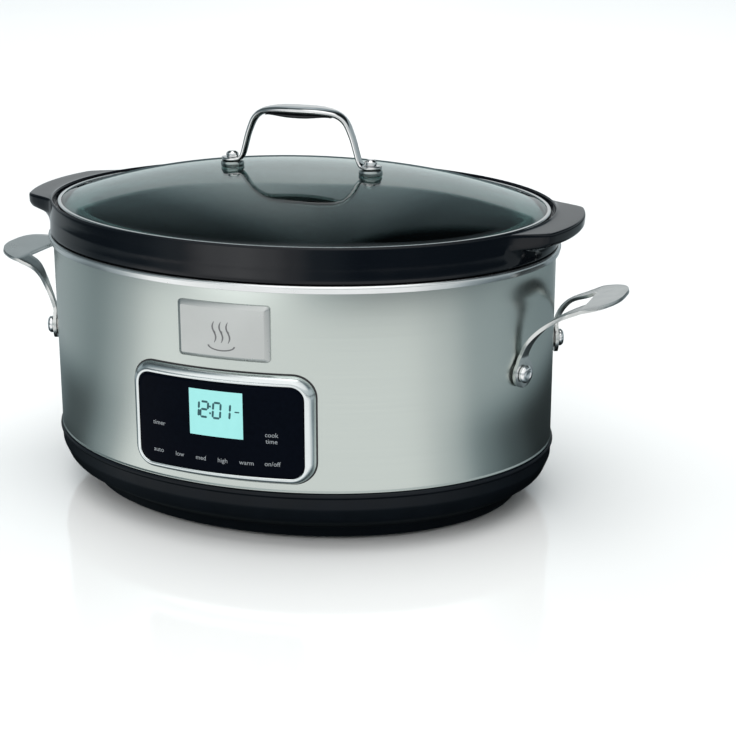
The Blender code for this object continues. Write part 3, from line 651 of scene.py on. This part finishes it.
def make_display():
    half, low, high = 0.0181, 0.0766, 0.1067
    count = 16
    outline = [(half - 2 * half * k / count, high) for k in range(count + 1)]
    outline += [(-half + 2 * half * k / count, low) for k in range(count + 1)]
    panel_patch("lcd_face", outline, LCD, PANEL_FACE + 0.00002, 0.00010, ["lcd_display"])

    ink = []
    height, width, thick = 0.0100, 0.0050, 0.0014
    base_z = 0.0889
    for x, digit in ((-0.0168, "1"), (-0.0105, "2"), (-0.0020, "0"), (0.0043, "1")):
        for which in SEGMENTS[digit]:
            ink.append(ink_patch(segment_outline(which, x, base_z, width, height, thick)))
    left, right, dot = -0.0042, -0.0030, 0.0006
    for z in (base_z + 0.0028, base_z + 0.0072):
        ink.append(ink_patch([(left, z - dot), (right, z - dot), (right, z + dot), (left, z + dot)]))
    ink.append(ink_patch(segment_outline("g", 0.0124, base_z + 0.0022, 0.0036, 0.0060, 0.0009)))
    join_pieces("lcd_digits", ink, LCD_INK)


def make_label(name, text, x, z):
    """One generic word, laid on the panel's face."""
    curve = bpy.data.curves.new(name, "FONT")
    curve.body = text
    curve.size = LABEL_SIZE
    curve.align_x = "CENTER"
    curve.align_y = "CENTER"
    curve.extrude = 0.00003
    curve.resolution_u = 4
    text_object = bpy.data.objects.new(name + "_text", curve)
    bpy.context.collection.objects.link(text_object)
    bpy.context.view_layer.update()
    mesh = bpy.data.meshes.new_from_object(text_object)
    bpy.data.objects.remove(text_object, do_unlink=True)
    for vertex in mesh.vertices:
        at, up, out = vertex.co
        vertex.co = (x + at, front_y(x + at, PANEL_FACE + 0.00006 + out), z + up)
    weld(mesh)
    mesh.name = name
    mesh.materials.clear()
    link_piece(name, mesh, LABEL_WITH_PAINTED_GLOW, "base")


def make_labels():
    words = (
        ("mark_a", "auto", -0.0420, 0.0618),
        ("mark_b", "low", -0.0262, 0.0614),
        ("mark_c", "med", -0.0110, 0.0612),
        ("mark_d", "high", 0.0040, 0.0612),
        ("mark_e", "warm", 0.0200, 0.0614),
        ("mark_f", "on/off", 0.0365, 0.0618),
        ("mark_g", "timer", -0.0410, 0.0800),
        ("mark_h", "cook", 0.0362, 0.0808),
        ("mark_i", "time", 0.0362, 0.0766),
    )
    for name, text, x, z in words:
        make_label(name, text, x, z)


# ---- badge
def make_badge():
    centre = (BADGE_LOW.x + BADGE_HIGH.x) / 2
    half = (BADGE_HIGH.x - BADGE_LOW.x) / 2
    low, high = BADGE_LOW.z, BADGE_HIGH.z
    loops = []
    # (shrink, outset): the bevelled edge, then rows that keep the face curved like the wrap
    section = [(0.0, 0.0001), (0.0, 0.0010), (0.0003, 0.0014), (0.0024, 0.0030)]
    section += [(shrink, BADGE_FACE) for shrink in (0.0028, 0.0034, 0.0060, 0.0100, 0.0150, 0.0172)]
    for shrink, outset in section:
        radius = max(0.0024 - shrink, 0.0006)
        loops.append(wrapped_loop(centre, half - shrink, low + shrink, high - shrink, radius, outset))
    add_piece("badge", skin(loops), BADGE, "base", ["badge_plate"], 25)


def make_emblem():
    """A generic mark on the badge: three wisps of steam over a bowl."""
    centre = (BADGE_LOW.x + BADGE_HIGH.x) / 2
    marks = []
    wave_low, wave_height, wave_gap = 0.1372, 0.0135, 0.0046
    steps = 20
    for i in (-1, 0, 1):
        left, right = [], []
        for k in range(steps + 1):
            t = k / steps
            z = wave_low + wave_height * t
            x = centre + i * wave_gap + 0.0011 * math.sin(2 * math.pi * t)
            width = 0.00055 * (1 - 0.75 * (2 * t - 1) ** 4)
            left.append((x - width, z))
            right.append((x + width, z))
        marks.append(left + right[::-1])
    bowl = []
    bowl_z, bowl_x, bowl_depth = 0.1355, 0.0092, 0.0036
    steps = 24
    for k in range(steps + 1):
        angle = math.pi + math.pi * k / steps
        bowl.append((centre + bowl_x * math.cos(angle), bowl_z + bowl_depth * math.sin(angle)))
    inner = [(centre + (x - centre) * 0.88, bowl_z + (z - bowl_z) * 0.76) for x, z in reversed(bowl)]
    marks.append(bowl + inner)
    above = BADGE_FACE + 0.00001
    etched = [panel_patch("mark", outline, ETCHED, above, 0.00005) for outline in marks]
    emblem = join_pieces("badge_steam_mark", etched, ETCHED)
    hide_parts("badge_emblem")


# ---- side handles
def stud_angle():
    """The direction of the wrap's normal at a stud, from the X axis."""
    return math.atan2(STUD_Y / WALL_Y**2, STUD_WALL_X / WALL_X**2)


def stud_x():
    """X of the middle of a side handle's tab."""
    return STUD_WALL_X + TAB_MIDDLE / math.cos(stud_angle())


def arm_rows():
    """(x, z, centre y, half width, twist) up one arm of a side handle."""
    rows = []
    for angle in range(-88, 49, 8):
        half = TAB_RADIUS * math.cos(math.radians(angle))
        rows.append((stud_x(), STUD_Z + TAB_RADIUS * math.sin(math.radians(angle)), STUD_Y, half, 1.0))
    tab_half = rows[-1][3]
    outs = (0.0, 0.0000, 0.0012, 0.0035, 0.0072, 0.0122, 0.0186, 0.0262, 0.0340)
    ups = (0.0085, 0.0112, 0.0150, 0.0200, 0.0250, 0.0297, 0.0337, 0.0373, 0.0408)
    steps = 34
    for k in range(1, steps + 1):
        out, up = along(outs, k / steps), along(ups, k / steps)
        share = smooth((out + 0.0020) / 0.0300)
        centre = STUD_Y + (GRIP_HALF_WIDTH - 0.0080 - STUD_Y) * share
        half = ARM_HALF_WIDTH + (0.0080 - ARM_HALF_WIDTH) * smooth((out - 0.0120) / 0.0220)
        neck = (tab_half - ARM_HALF_WIDTH) * (1 - smooth((up - 0.0070) / 0.0060))
        twist = 1 - smooth((out - 0.0010) / 0.0180)
        rows.append((stud_x() + out, STUD_Z + up, centre, half + neck, twist))
    return rows


def grip_rows():
    """(x, z, half width) from the arms to the tip of a side handle's grip."""
    start_x, start_z = arm_rows()[-1][:2]
    tip_x = GRIP_HIGH.x - STRAP / 8
    rows = []
    for angle in (6, 12, 18, 24, 30, 36, 42, 48, 54, 60, 66, 72, 77, 81, 84.5, 87):
        out = math.sin(math.radians(angle)) / math.sin(math.radians(87))
        half = GRIP_HALF_WIDTH * math.cos(math.radians(angle)) ** 0.75
        rows.append((start_x + (tip_x - start_x) * out, start_z + (GRIP_TIP_Z - start_z) * out, half))
    return rows


def make_side_handle(side, sx):
    columns = 10
    points, faces, arms = [], [], {-1: [], 1: []}
    across_arm = 3
    rows = arm_rows()
    for sy in (-1, 1):
        for x, z, centre, half, twist in rows:
            angle = stud_angle() * twist
            ring = []
            for k in range(across_arm + 1):
                part = half * (1 - 2 * k / across_arm)
                out, along_y = x - part * math.sin(angle), centre + part * math.cos(angle)
                ring.append(len(points))
                points.append((sx * out, sy * along_y, z))
            arms[sy].append(ring)
        for near, far in zip(arms[sy], arms[sy][1:]):
            for k in range(across_arm):
                faces.append((near[k], near[k + 1], far[k + 1], far[k]))
    x, z, centre, half, _ = rows[-1]
    inner, outer = centre - half, centre + half
    previous = list(arms[-1][-1])
    for k in range(1, columns):
        previous.append(len(points))
        points.append((sx * x, -inner + 2 * inner * k / columns, z))
    previous += list(reversed(arms[1][-1]))
    base = [points[i][1] for i in previous]
    for x, z, half in grip_rows():
        current = list(range(len(points), len(points) + len(base)))
        points += [(sx * x, y * half / outer, z) for y in base]
        for k in range(len(previous) - 1):
            faces.append((previous[k], previous[k + 1], current[k + 1], current[k]))
        previous = current
    replaced = [f"side_handle_{side}"]
    handle = add_piece(f"grip_{side}", (points, faces), SATIN, "base", replaced, 60)
    sheet = handle.modifiers.new("Sheet", "SOLIDIFY")
    sheet.thickness = STRAP
    sheet.offset = 0.0
    sheet.use_even_offset = True
    edges = handle.modifiers.new("Edges", "BEVEL")
    edges.width = 0.0007
    edges.segments = 3
    edges.limit_method = "ANGLE"
    edges.angle_limit = math.radians(50)


def outward(sx, sy):
    """The place of one stud on the wrap, its Z pointing straight out."""
    angle = math.atan2(sy * math.sin(stud_angle()), sx * math.cos(stud_angle()))
    turn = Matrix.Rotation(angle, 4, "Z") @ Matrix.Rotation(math.pi / 2, 4, "Y")
    return Matrix.Translation((sx * STUD_WALL_X, sy * STUD_Y, STUD_Z)) @ turn


def make_studs():
    face = TAB_MIDDLE + STRAP / 2 + GAP
    corners = [
        (0.0, face - 0.0120, 0.0),
        (0.0024, face - 0.0120, 0.0),
        (0.0024, face, 0.0),
        (0.0054, face, 0.0003),
        (0.0058, face + 0.0008, 0.0008),
        (0.0058, face + 0.0022, 0.0012),
        (0.0046, face + 0.0036, 0.0020),
        (0.0026, face + 0.0041, 0.0010),
        (0.0022, face + 0.0036, 0.0004),
        (0.0, face + 0.0035, 0.0),
    ]
    profile = [(max(radius, 0.0001), z) for radius, z in rounded(corners, 4, closed=False)]
    for side, sx in (("left", -1), ("right", 1)):
        for end, sy in (("front", -1), ("rear", 1)):
            name = f"stud_{side}_{end}"
            turned(name, profile, CHROME, outward(sx, sy), "base", [f"handle_stud_{side}_{end}"])


# ---- crock
def crock_angles():
    """Angles round the crock, closer together where its lugs begin and end."""
    angles = []
    for quarter in range(4):
        for k in range(72):
            t = k / 72 if quarter % 2 == 0 else 1 - k / 72
            share = t**1.25
            turn = share if quarter % 2 == 0 else 1 - share
            angles.append((quarter + turn) * math.pi / 2)
    return angles


def crock_ring(inset, z, ear):
    """The crock's oval at one height, its lugs drawn out by their share ear."""
    ring = []
    for angle in crock_angles():
        x = (WALL_X - inset) * math.cos(angle)
        y = (WALL_Y - inset) * math.sin(angle)
        reach = EAR_LENGTH * ear * (1 - smooth((abs(y) - EAR_FULL) / (EAR_END - EAR_FULL)))
        ring.append((x + math.copysign(reach, x), y, z))
    return ring


def make_crock():
    wall = LINER_INSET + 0.0025
    inside = wall + CROCK_THICKNESS
    floor = CROCK_FLOOR + CROCK_THICKNESS
    band = RING_TOP + GAP
    top = CROCK_TOP
    # (inset, z, share of the lugs, radius), from the outside of the bottom up and down to the inside's
    corners = [
        (wall + 0.060, CROCK_FLOOR, 0, 0.0),
        (wall + 0.012, CROCK_FLOOR, 0, 0.010),
        (wall + 0.004, CROCK_FLOOR + 0.0110, 0, 0.010),
        (wall, band - 0.0040, 0, 0.004),
        (wall, band, 0, 0.001),
        (0.0012, band, 0, 0.0008),
        (-0.0012, band + 0.0004, 0, 0.0008),
        (-0.0018, band + 0.0016, 0, 0.0010),
        (-0.0014, band + 0.0070, 0.12, 0.0020),
        (-0.0012, top - 0.0120, 0.34, 0.0014),
        (-0.0010, top - 0.0100, 0.84, 0.0010),
        (-0.0008, top - 0.0074, 0.97, 0.0010),
        (-0.0005, top - 0.0024, 1.0, 0.0010),
        (-0.0004, top - 0.0011, 0.98, 0.0004),
        (-0.0002, top - 0.0008, 0.94, 0.0003),
        (-0.0001, top - 0.0008, 0.10, 0.0003),
        (0.0001, top - 0.0002, 0.0, 0.0004),
        (0.0006, top, 0.0, 0.0003),
        (0.0012, top - 0.0008, 0.0, 0.0006),
        (0.0015, LEDGE, 0.0, 0.0006),
        (0.0100, LEDGE, 0.0, 0.0020),
        (inside - 0.004, LEDGE - 0.0030, 0.0, 0.0050),
        (inside, LEDGE - 0.0140, 0.0, 0.0100),
        (inside + 0.0060, floor + 0.0200, 0.0, 0.0120),
        (inside + 0.0140, floor, 0.0, 0.0140),
        (inside + 0.0600, floor, 0.0, 0.0),
    ]
    rings = [crock_ring(inset, z, ear) for inset, z, ear in soft_section(corners)]
    add_piece("crock_pot", skin(rings), GLAZE, "crock", ["crock"], 50)


def soft_section(corners, steps=4):
    """Section points (inset, z, ear), with each corner's arc, the ear weight changing along with it."""
    out = []
    last = len(corners) - 1
    for i, (inset, z, ear, radius) in enumerate(corners):
        if i in (0, last) or radius <= 0:
            out.append((inset, z, ear))
            continue
        here = Vector((inset, z, ear))
        before = Vector(corners[i - 1][:3]) - here
        after = Vector(corners[i + 1][:3]) - here
        start = here + before * min(radius / max(before.xy.length, 1e-6), 0.45)
        end = here + after * min(radius / max(after.xy.length, 1e-6), 0.45)
        for k in range(steps + 1):
            t = k / steps
            out.append(tuple((1 - t) ** 2 * start + 2 * t * (1 - t) * here + t * t * end))
    return out


# ---- lid
def dome_height(share):
    """Top of the glass, at a share of the way from its middle to its edge."""
    return DOME_EDGE + DOME_RISE * (1 - share**DOME_POWER)


def dome_ring(share, drop):
    z = dome_height(share) - drop
    return [(LID_REACH_X * share * x, LID_REACH_Y * share * y, z) for x, y in circle(STEPS)]


def make_lid_glass():
    shares = [0.012, 0.04, 0.08] + [0.08 + 0.92 * k / 26 for k in range(1, 27)]
    rings = [dome_ring(share, 0) for share in shares]
    # (inset, drop) round the glass's edge
    edge = ((0.0064, 0.0001), (0.0053, 0.0004), (0.0050, 0.0008))
    edge += ((0.0050, 0.0022), (0.0054, 0.0024), (0.0080, 0.0024))
    rings += [oval_ring(inset, DOME_EDGE - drop) for inset, drop in edge]
    rings += [dome_ring(share, GLASS) for share in reversed(shares)]
    add_piece("dome", skin(rings), LID_GLASS, "lid", ["lid_glass"], 50)


def make_lid_rim():
    low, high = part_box("lid_rim")
    top, bottom = high.z, low.z
    section = [
        (0.0040, bottom, 0.0003),
        (0.0040, top, 0.0010),
        (0.0066, top, 0.0004),
        (0.0067, DOME_EDGE + 0.0001, 0.0),
        (0.0046, DOME_EDGE + 0.0001, 0.0),
        (0.0046, DOME_EDGE - 0.0028, 0.0),
        (0.0072, DOME_EDGE - 0.0028, 0.0),
        (0.0072, bottom, 0.0003),
    ]
    oval_piece("rim_band", section, POLISHED, "lid", ["lid_rim"])


def handle_foot():
    """Height of the middle of the handle's feet."""
    return dome_height(BOSS_X / LID_REACH_X) + 0.0050


def bridge_stations():
    """(x, z, half width, half thickness) from the middle of the handle's grip to the end of a foot."""
    top, foot = OVERALL_TOP, handle_foot()
    return [
        (0.0000, top - 0.0027, 0.0096, 0.0027),
        (0.0070, top - 0.0027, 0.0095, 0.0027),
        (0.0140, top - 0.0029, 0.0089, 0.0026),
        (0.0205, top - 0.0036, 0.0076, 0.0024),
        (0.0262, top - 0.0049, 0.0058, 0.0022),
        (0.0306, top - 0.0075, 0.0046, 0.0021),
        (0.0336, top - 0.0112, 0.0040, 0.0020),
        (0.0360, top - 0.0165, 0.0037, 0.0019),
        (0.0379, foot + 0.0170, 0.0036, 0.0018),
        (0.0396, foot + 0.0110, 0.0036, 0.0017),
        (0.0412, foot + 0.0055, 0.0037, 0.0016),
        (0.0426, foot + 0.0022, 0.0040, 0.0015),
        (0.0444, foot + 0.0004, 0.0050, 0.0014),
        (0.0470, foot, 0.0070, 0.0013),
        (0.0500, foot, 0.0077, 0.0013),
        (0.0530, foot, 0.0070, 0.0013),
        (0.0556, foot, 0.0048, 0.0013),
        (0.0574, foot, 0.0016, 0.0012),
    ]


def soft_circle():
    """(across, up) points round a unit circle that is squared off a little."""
    for point in circle(BRIDGE_SIDES, 0.5):
        yield [math.copysign(abs(value) ** 0.8, value) for value in point]


def make_bridge():
    columns = list(zip(*bridge_stations()))
    steps = 110
    right = [[along(column, k / steps) for column in columns] for k in range(steps + 1)]
    path = [(-x, z, w, h) for x, z, w, h in reversed(right[1:])] + [tuple(row) for row in right]
    rings = []
    for i, (x, z, half_width, half_thick) in enumerate(path):
        before, after = path[max(i - 1, 0)], path[min(i + 1, len(path) - 1)]
        slope = math.atan2(after[1] - before[1], after[0] - before[0])
        ring = []
        for across, up in soft_circle():
            lift = half_thick * up
            ring.append((x - lift * math.sin(slope), half_width * across, z + lift * math.cos(slope)))
        rings.append(ring)
    add_piece("bridge_handle", skin(rings), POLISHED, "lid", ["lid_handle"], 50)


def make_painted_grip_shade():
    """A soft black pad under the handle's grip, deepest in the middle: painted shade for the grip's shaded
    belly.
    """
    grip = bridge_stations()[:5]
    undersides = [z - 0.75 * half_thick for _, z, _, half_thick in grip]
    reach, steps = 0.0235, 40
    rings = []
    for k in range(steps + 1):
        x = reach * (2 * k / steps - 1)
        share = abs(x) / reach
        half_width = along((0.0086, 0.0085, 0.0080, 0.0068, 0.0046), share)
        depth = along((0.0034, 0.0033, 0.0027, 0.0017, 0.0009), share)
        z = along(undersides, abs(x) / grip[-1][0])
        rings.append([(x, half_width * across, z - depth * 0.5 * (1 - up)) for across, up in soft_circle()])
    add_piece("painted_grip_shade", skin(rings), BLACK, "lid", (), 50)


def make_lid_fasteners():
    foot = handle_foot()
    seat = dome_height((BOSS_X - 0.0079) / LID_REACH_X) + 0.0001
    inside = dome_height((BOSS_X + 0.0064) / LID_REACH_X) - GLASS - 2 * GAP
    head = foot + 0.0014
    boss = [
        (0.0030, seat - 0.0006, 0.0),
        (0.0079, seat - 0.0006, 0.0004),
        (0.0080, seat + 0.0012, 0.0008),
        (0.0080, foot - 0.0030, 0.0010),
        (0.0074, foot - 0.0014, 0.0008),
        (0.0030, foot - 0.0014, 0.0),
    ]
    screw = [
        (0.0001, inside - 0.0046, 0.0),
        (0.0022, inside - 0.0046, 0.0),
        (0.0022, head, 0.0),
        (0.0040, head, 0.0002),
        (0.0042, head + 0.0010, 0.0006),
        (0.0040, head + 0.0026, 0.0012),
        (0.0022, head + 0.0038, 0.0012),
        (0.0001, head + 0.0038, 0.0),
    ]
    nut = [
        (0.0025, inside - 0.0040, 0.0),
        (0.0060, inside - 0.0040, 0.0010),
        (0.0064, inside, 0.0004),
        (0.0025, inside, 0.0),
    ]
    pieces = (
        ("boss", "lid_boss", rounded(boss, 5), BOSS, "polished_steel", True),
        ("screw", "lid_screw", rounded(screw, 5, closed=False), CHROME, "chrome", False),
        ("cap_nut", "lid_nut", rounded(nut, 4), POLISHED, "polished_steel", True),
    )
    for side, sx in (("left", -1), ("right", 1)):
        place = Matrix.Translation((sx * BOSS_X, 0, 0))
        for name, node, profile, look, slot, closed in pieces:
            turned(f"{name}_{side}", profile, look, place, "lid", [f"{node}_{side}"], closed)


# ---- carried-over CAD nodes
def dress_cad_nodes():
    """Gives every CAD node the look of its slot. The ones that a finer piece replaces stay hidden."""
    slots = {row["node"]: row["material_slot"] for row in frame["record"]["subparts"]}
    for name, obj in frame["nodes"].items():
        look = SLOT_LOOKS[slots[name]]
        if not obj.material_slots:
            obj.data.materials.append(look)
        for slot in obj.material_slots:
            slot.material = look


# ---- studio
CAMERA_AT = Vector((0.4373, -1.0771, 0.4428))
CAMERA_AIM = Vector((0.0426, 0.0154, 0.0787))


def table_glow(graph):
    """The table as reflections see it: lit in front, darker at both sides, dark under the object.

    Returns the glow and the distance from the object's middle.
    """
    place = graph.add("ShaderNodeTexCoord", {}, "Object")
    x, y = (graph.add("ShaderNodeSeparateXYZ", {"Vector": place}, axis) for axis in "XY")
    around = graph.turn(x, graph.math("MULTIPLY", y, -1.0))  # 0 in front of the object, 90 at its right
    away = graph.math("SQRT", graph.math("ADD", graph.math("POWER", x, 2.0), graph.math("POWER", y, 2.0)))
    # round the object; what is added to it from half a metre out; and the table's dim far part
    near = (
        (-180, 0.75), (-160, 0.34), (-135, 0.30), (-108, 0.22), (-88, 0.10), (-76, 0.09),
        (-60, 0.40), (-43, 1.12), (-20, 0.99), (50, 1.00), (64, 0.71), (80, 0.25),
        (95, 0.10), (112, 0.03), (150, 0.03), (180, 0.75),
    )
    further = (
        (-180, 0.05), (-120, 0.25), (-90, 0.34), (-65, 0.12), (-45, 0.0), (55, 0.0), (75, 0.20),
        (95, 0.40), (140, 0.30), (180, 0.05),
    )
    far = (
        (-180, 0.12), (-120, 0.10), (-71, 0.08), (-54, 0.20), (-37, 0.55), (-23, 1.60), (-12, 1.90),
        (-3, 1.45), (5, 0.85), (14, 0.38), (31, 0.12), (120, 0.08), (180, 0.12),
    )
    added = graph.math("MULTIPLY", graph.table(around, further), graph.smooth(away, 0.36, 0.54))
    level = graph.math("ADD", graph.table(around, near), added)
    level = graph.mix(graph.smooth(away, 1.20, 1.40), level, graph.table(around, far))
    oval = graph.math("POWER", graph.math("DIVIDE", x, WALL_X), 2.0)
    oval = graph.math("ADD", oval, graph.math("POWER", graph.math("DIVIDE", y, WALL_Y), 2.0))
    level = graph.math("MULTIPLY", level, graph.smooth(graph.math("SQRT", oval), 1.0, 1.7, 0.05, 1.0))
    glow = graph.add("ShaderNodeEmission", {"Color": graph.cool(level), "Strength": level}, "Emission")
    return glow, away


def make_floor():
    """A glossy white floor that whitens with distance, and that reflections see as a lit table."""
    size = 14.0
    mesh = bpy.data.meshes.new("studio_floor")
    corners = [(-size, -size, 0), (size, -size, 0), (size, size, 0), (-size, size, 0)]
    mesh.from_pydata(corners, [], [(0, 1, 2, 3)])
    material = floor_white()
    mesh.materials.append(material)
    floor = bpy.data.objects.new("studio_floor", mesh)
    bpy.context.collection.objects.link(floor)

    graph = Graph(material.node_tree)
    glow, away = table_glow(graph)
    shader = graph.nodes["Principled BSDF"]
    shader.inputs["Emission Color"].default_value = (0.97, 1.0, 1.0, 1.0)
    graph.links.new(graph.smooth(away, 0.35, 3.0, 0.0, 0.30), shader.inputs["Emission Strength"])
    seen = graph.add("ShaderNodeLightPath", {}, "Is Camera Ray")
    values = {"Fac": seen, 1: glow, 2: shader.outputs["BSDF"]}
    surface = graph.add("ShaderNodeMixShader", values, "Shader")
    graph.links.new(surface, graph.nodes["Material Output"].inputs["Surface"])


def make_world():
    """White to the camera. Reflections see a pale horizon, white above and in front, and a dim back."""
    world = bpy.data.worlds.new("studio")
    bpy.context.scene.world = world
    world.use_nodes = True
    graph = Graph(world.node_tree)
    place = graph.add("ShaderNodeTexCoord", {}, "Generated")
    x, y, z = (graph.add("ShaderNodeSeparateXYZ", {"Vector": place}, axis) for axis in "XYZ")
    look = (CAMERA_AIM - CAMERA_AT).to_2d().normalized()
    behind = graph.math("ADD", graph.math("MULTIPLY", x, look.x), graph.math("MULTIPLY", y, look.y))
    right = graph.math("SUBTRACT", graph.math("MULTIPLY", x, look.y), graph.math("MULTIPLY", y, look.x))
    around = graph.turn(right, behind)  # 0 straight behind the object, 180 over the camera
    rise = graph.math("MULTIPLY", graph.math("ARCSINE", z), 180 / math.pi)

    back = (
        (-180, 0.0), (-95, 0.05), (-60, 0.10), (-25, 0.10), (-18, 0.18), (-6, 0.56), (2, 0.42),
        (10, 0.18), (20, 0.10), (60, 0.08), (95, 0.05), (180, 0.0),
    )
    front = (
        (-180, 1.15), (-125, 1.10), (-90, 0.20), (-60, 0.0), (60, 0.0), (95, 0.15), (125, 0.90),
        (180, 1.15),
    )
    low = (
        (-180, 0.75), (-140, 0.60), (-105, 0.12), (-70, 0.36), (-50, 0.46), (-25, 0.48), (-9, 0.66),
        (0, 0.75), (8, 0.68), (25, 0.46), (60, 0.40), (100, 0.55), (180, 0.75),
    )
    fall = graph.math("MULTIPLY", graph.smooth(rise, 34, 62, 1.0, 0.30), graph.table(around, back))
    sweep = graph.math("MULTIPLY_ADD", around, 1.3, rise)
    fall = graph.math("MULTIPLY", fall, graph.smooth(sweep, 55, 60, 1.0, 0.12))
    high = graph.math("ADD", fall, graph.table(around, front))
    high = graph.mix(graph.smooth(rise, 64, 74), high, 1.6)
    level = graph.mix(graph.smooth(rise, 18.5, 20.5), graph.table(around, low), high)
    seen = graph.add("ShaderNodeLightPath", {}, "Is Camera Ray")
    level = graph.mix(seen, level, 1.0)
    background = graph.nodes["Background"]
    graph.links.new(graph.cool(level), background.inputs["Color"])
    graph.links.new(level, background.inputs["Strength"])


def add_light(name, place, size, energy):
    """A soft light for the matt surfaces: the shiny ones see the studio alone."""
    light = bpy.data.lights.new(name, "AREA")
    light.shape = "RECTANGLE"
    light.size, light.size_y = size
    light.energy = energy
    obj = bpy.data.objects.new(name, light)
    obj.location = place
    obj.rotation_euler = (-Vector(place)).to_track_quat("-Z", "Y").to_euler()
    obj.visible_camera = False
    obj.visible_glossy = False
    obj.visible_transmission = False
    bpy.context.collection.objects.link(obj)


def make_camera():
    camera = bpy.data.cameras.new("camera")
    camera.sensor_width = 36.0
    camera.lens = 85.43
    camera.clip_start, camera.clip_end = 0.05, 60.0
    obj = bpy.data.objects.new("camera", camera)
    obj.location = CAMERA_AT
    obj.rotation_euler = (CAMERA_AIM - CAMERA_AT).to_track_quat("-Z", "Y").to_euler()
    bpy.context.collection.objects.link(obj)
    bpy.context.scene.camera = obj


def make_studio():
    make_floor()
    make_world()
    add_light("overhead", place=(0.0, 0.2, 2.6), size=(3.5, 3.5), energy=98)
    add_light("front", place=(0.2, -2.2, 1.6), size=(2.5, 1.5), energy=40)
    make_camera()
    bpy.context.scene.view_settings.view_transform = "Standard"


# ---- all of it
dress_cad_nodes()
make_wrap()
make_ring()
make_base()
make_feet()
make_gland()
make_liner()
make_window()
make_bezel()
# the black strip round the bezel is painted shade for its shadow gap
make_painted_shadow_gap()
make_display()
make_labels()
make_badge()
make_emblem()
make_side_handle("left", -1)
make_side_handle("right", 1)
make_studs()
make_crock()
make_lid_glass()
make_lid_rim()
make_bridge()
# the black pad under the lid handle's grip is painted shade for its shaded belly
make_painted_grip_shade()
make_lid_fasteners()
make_studio()
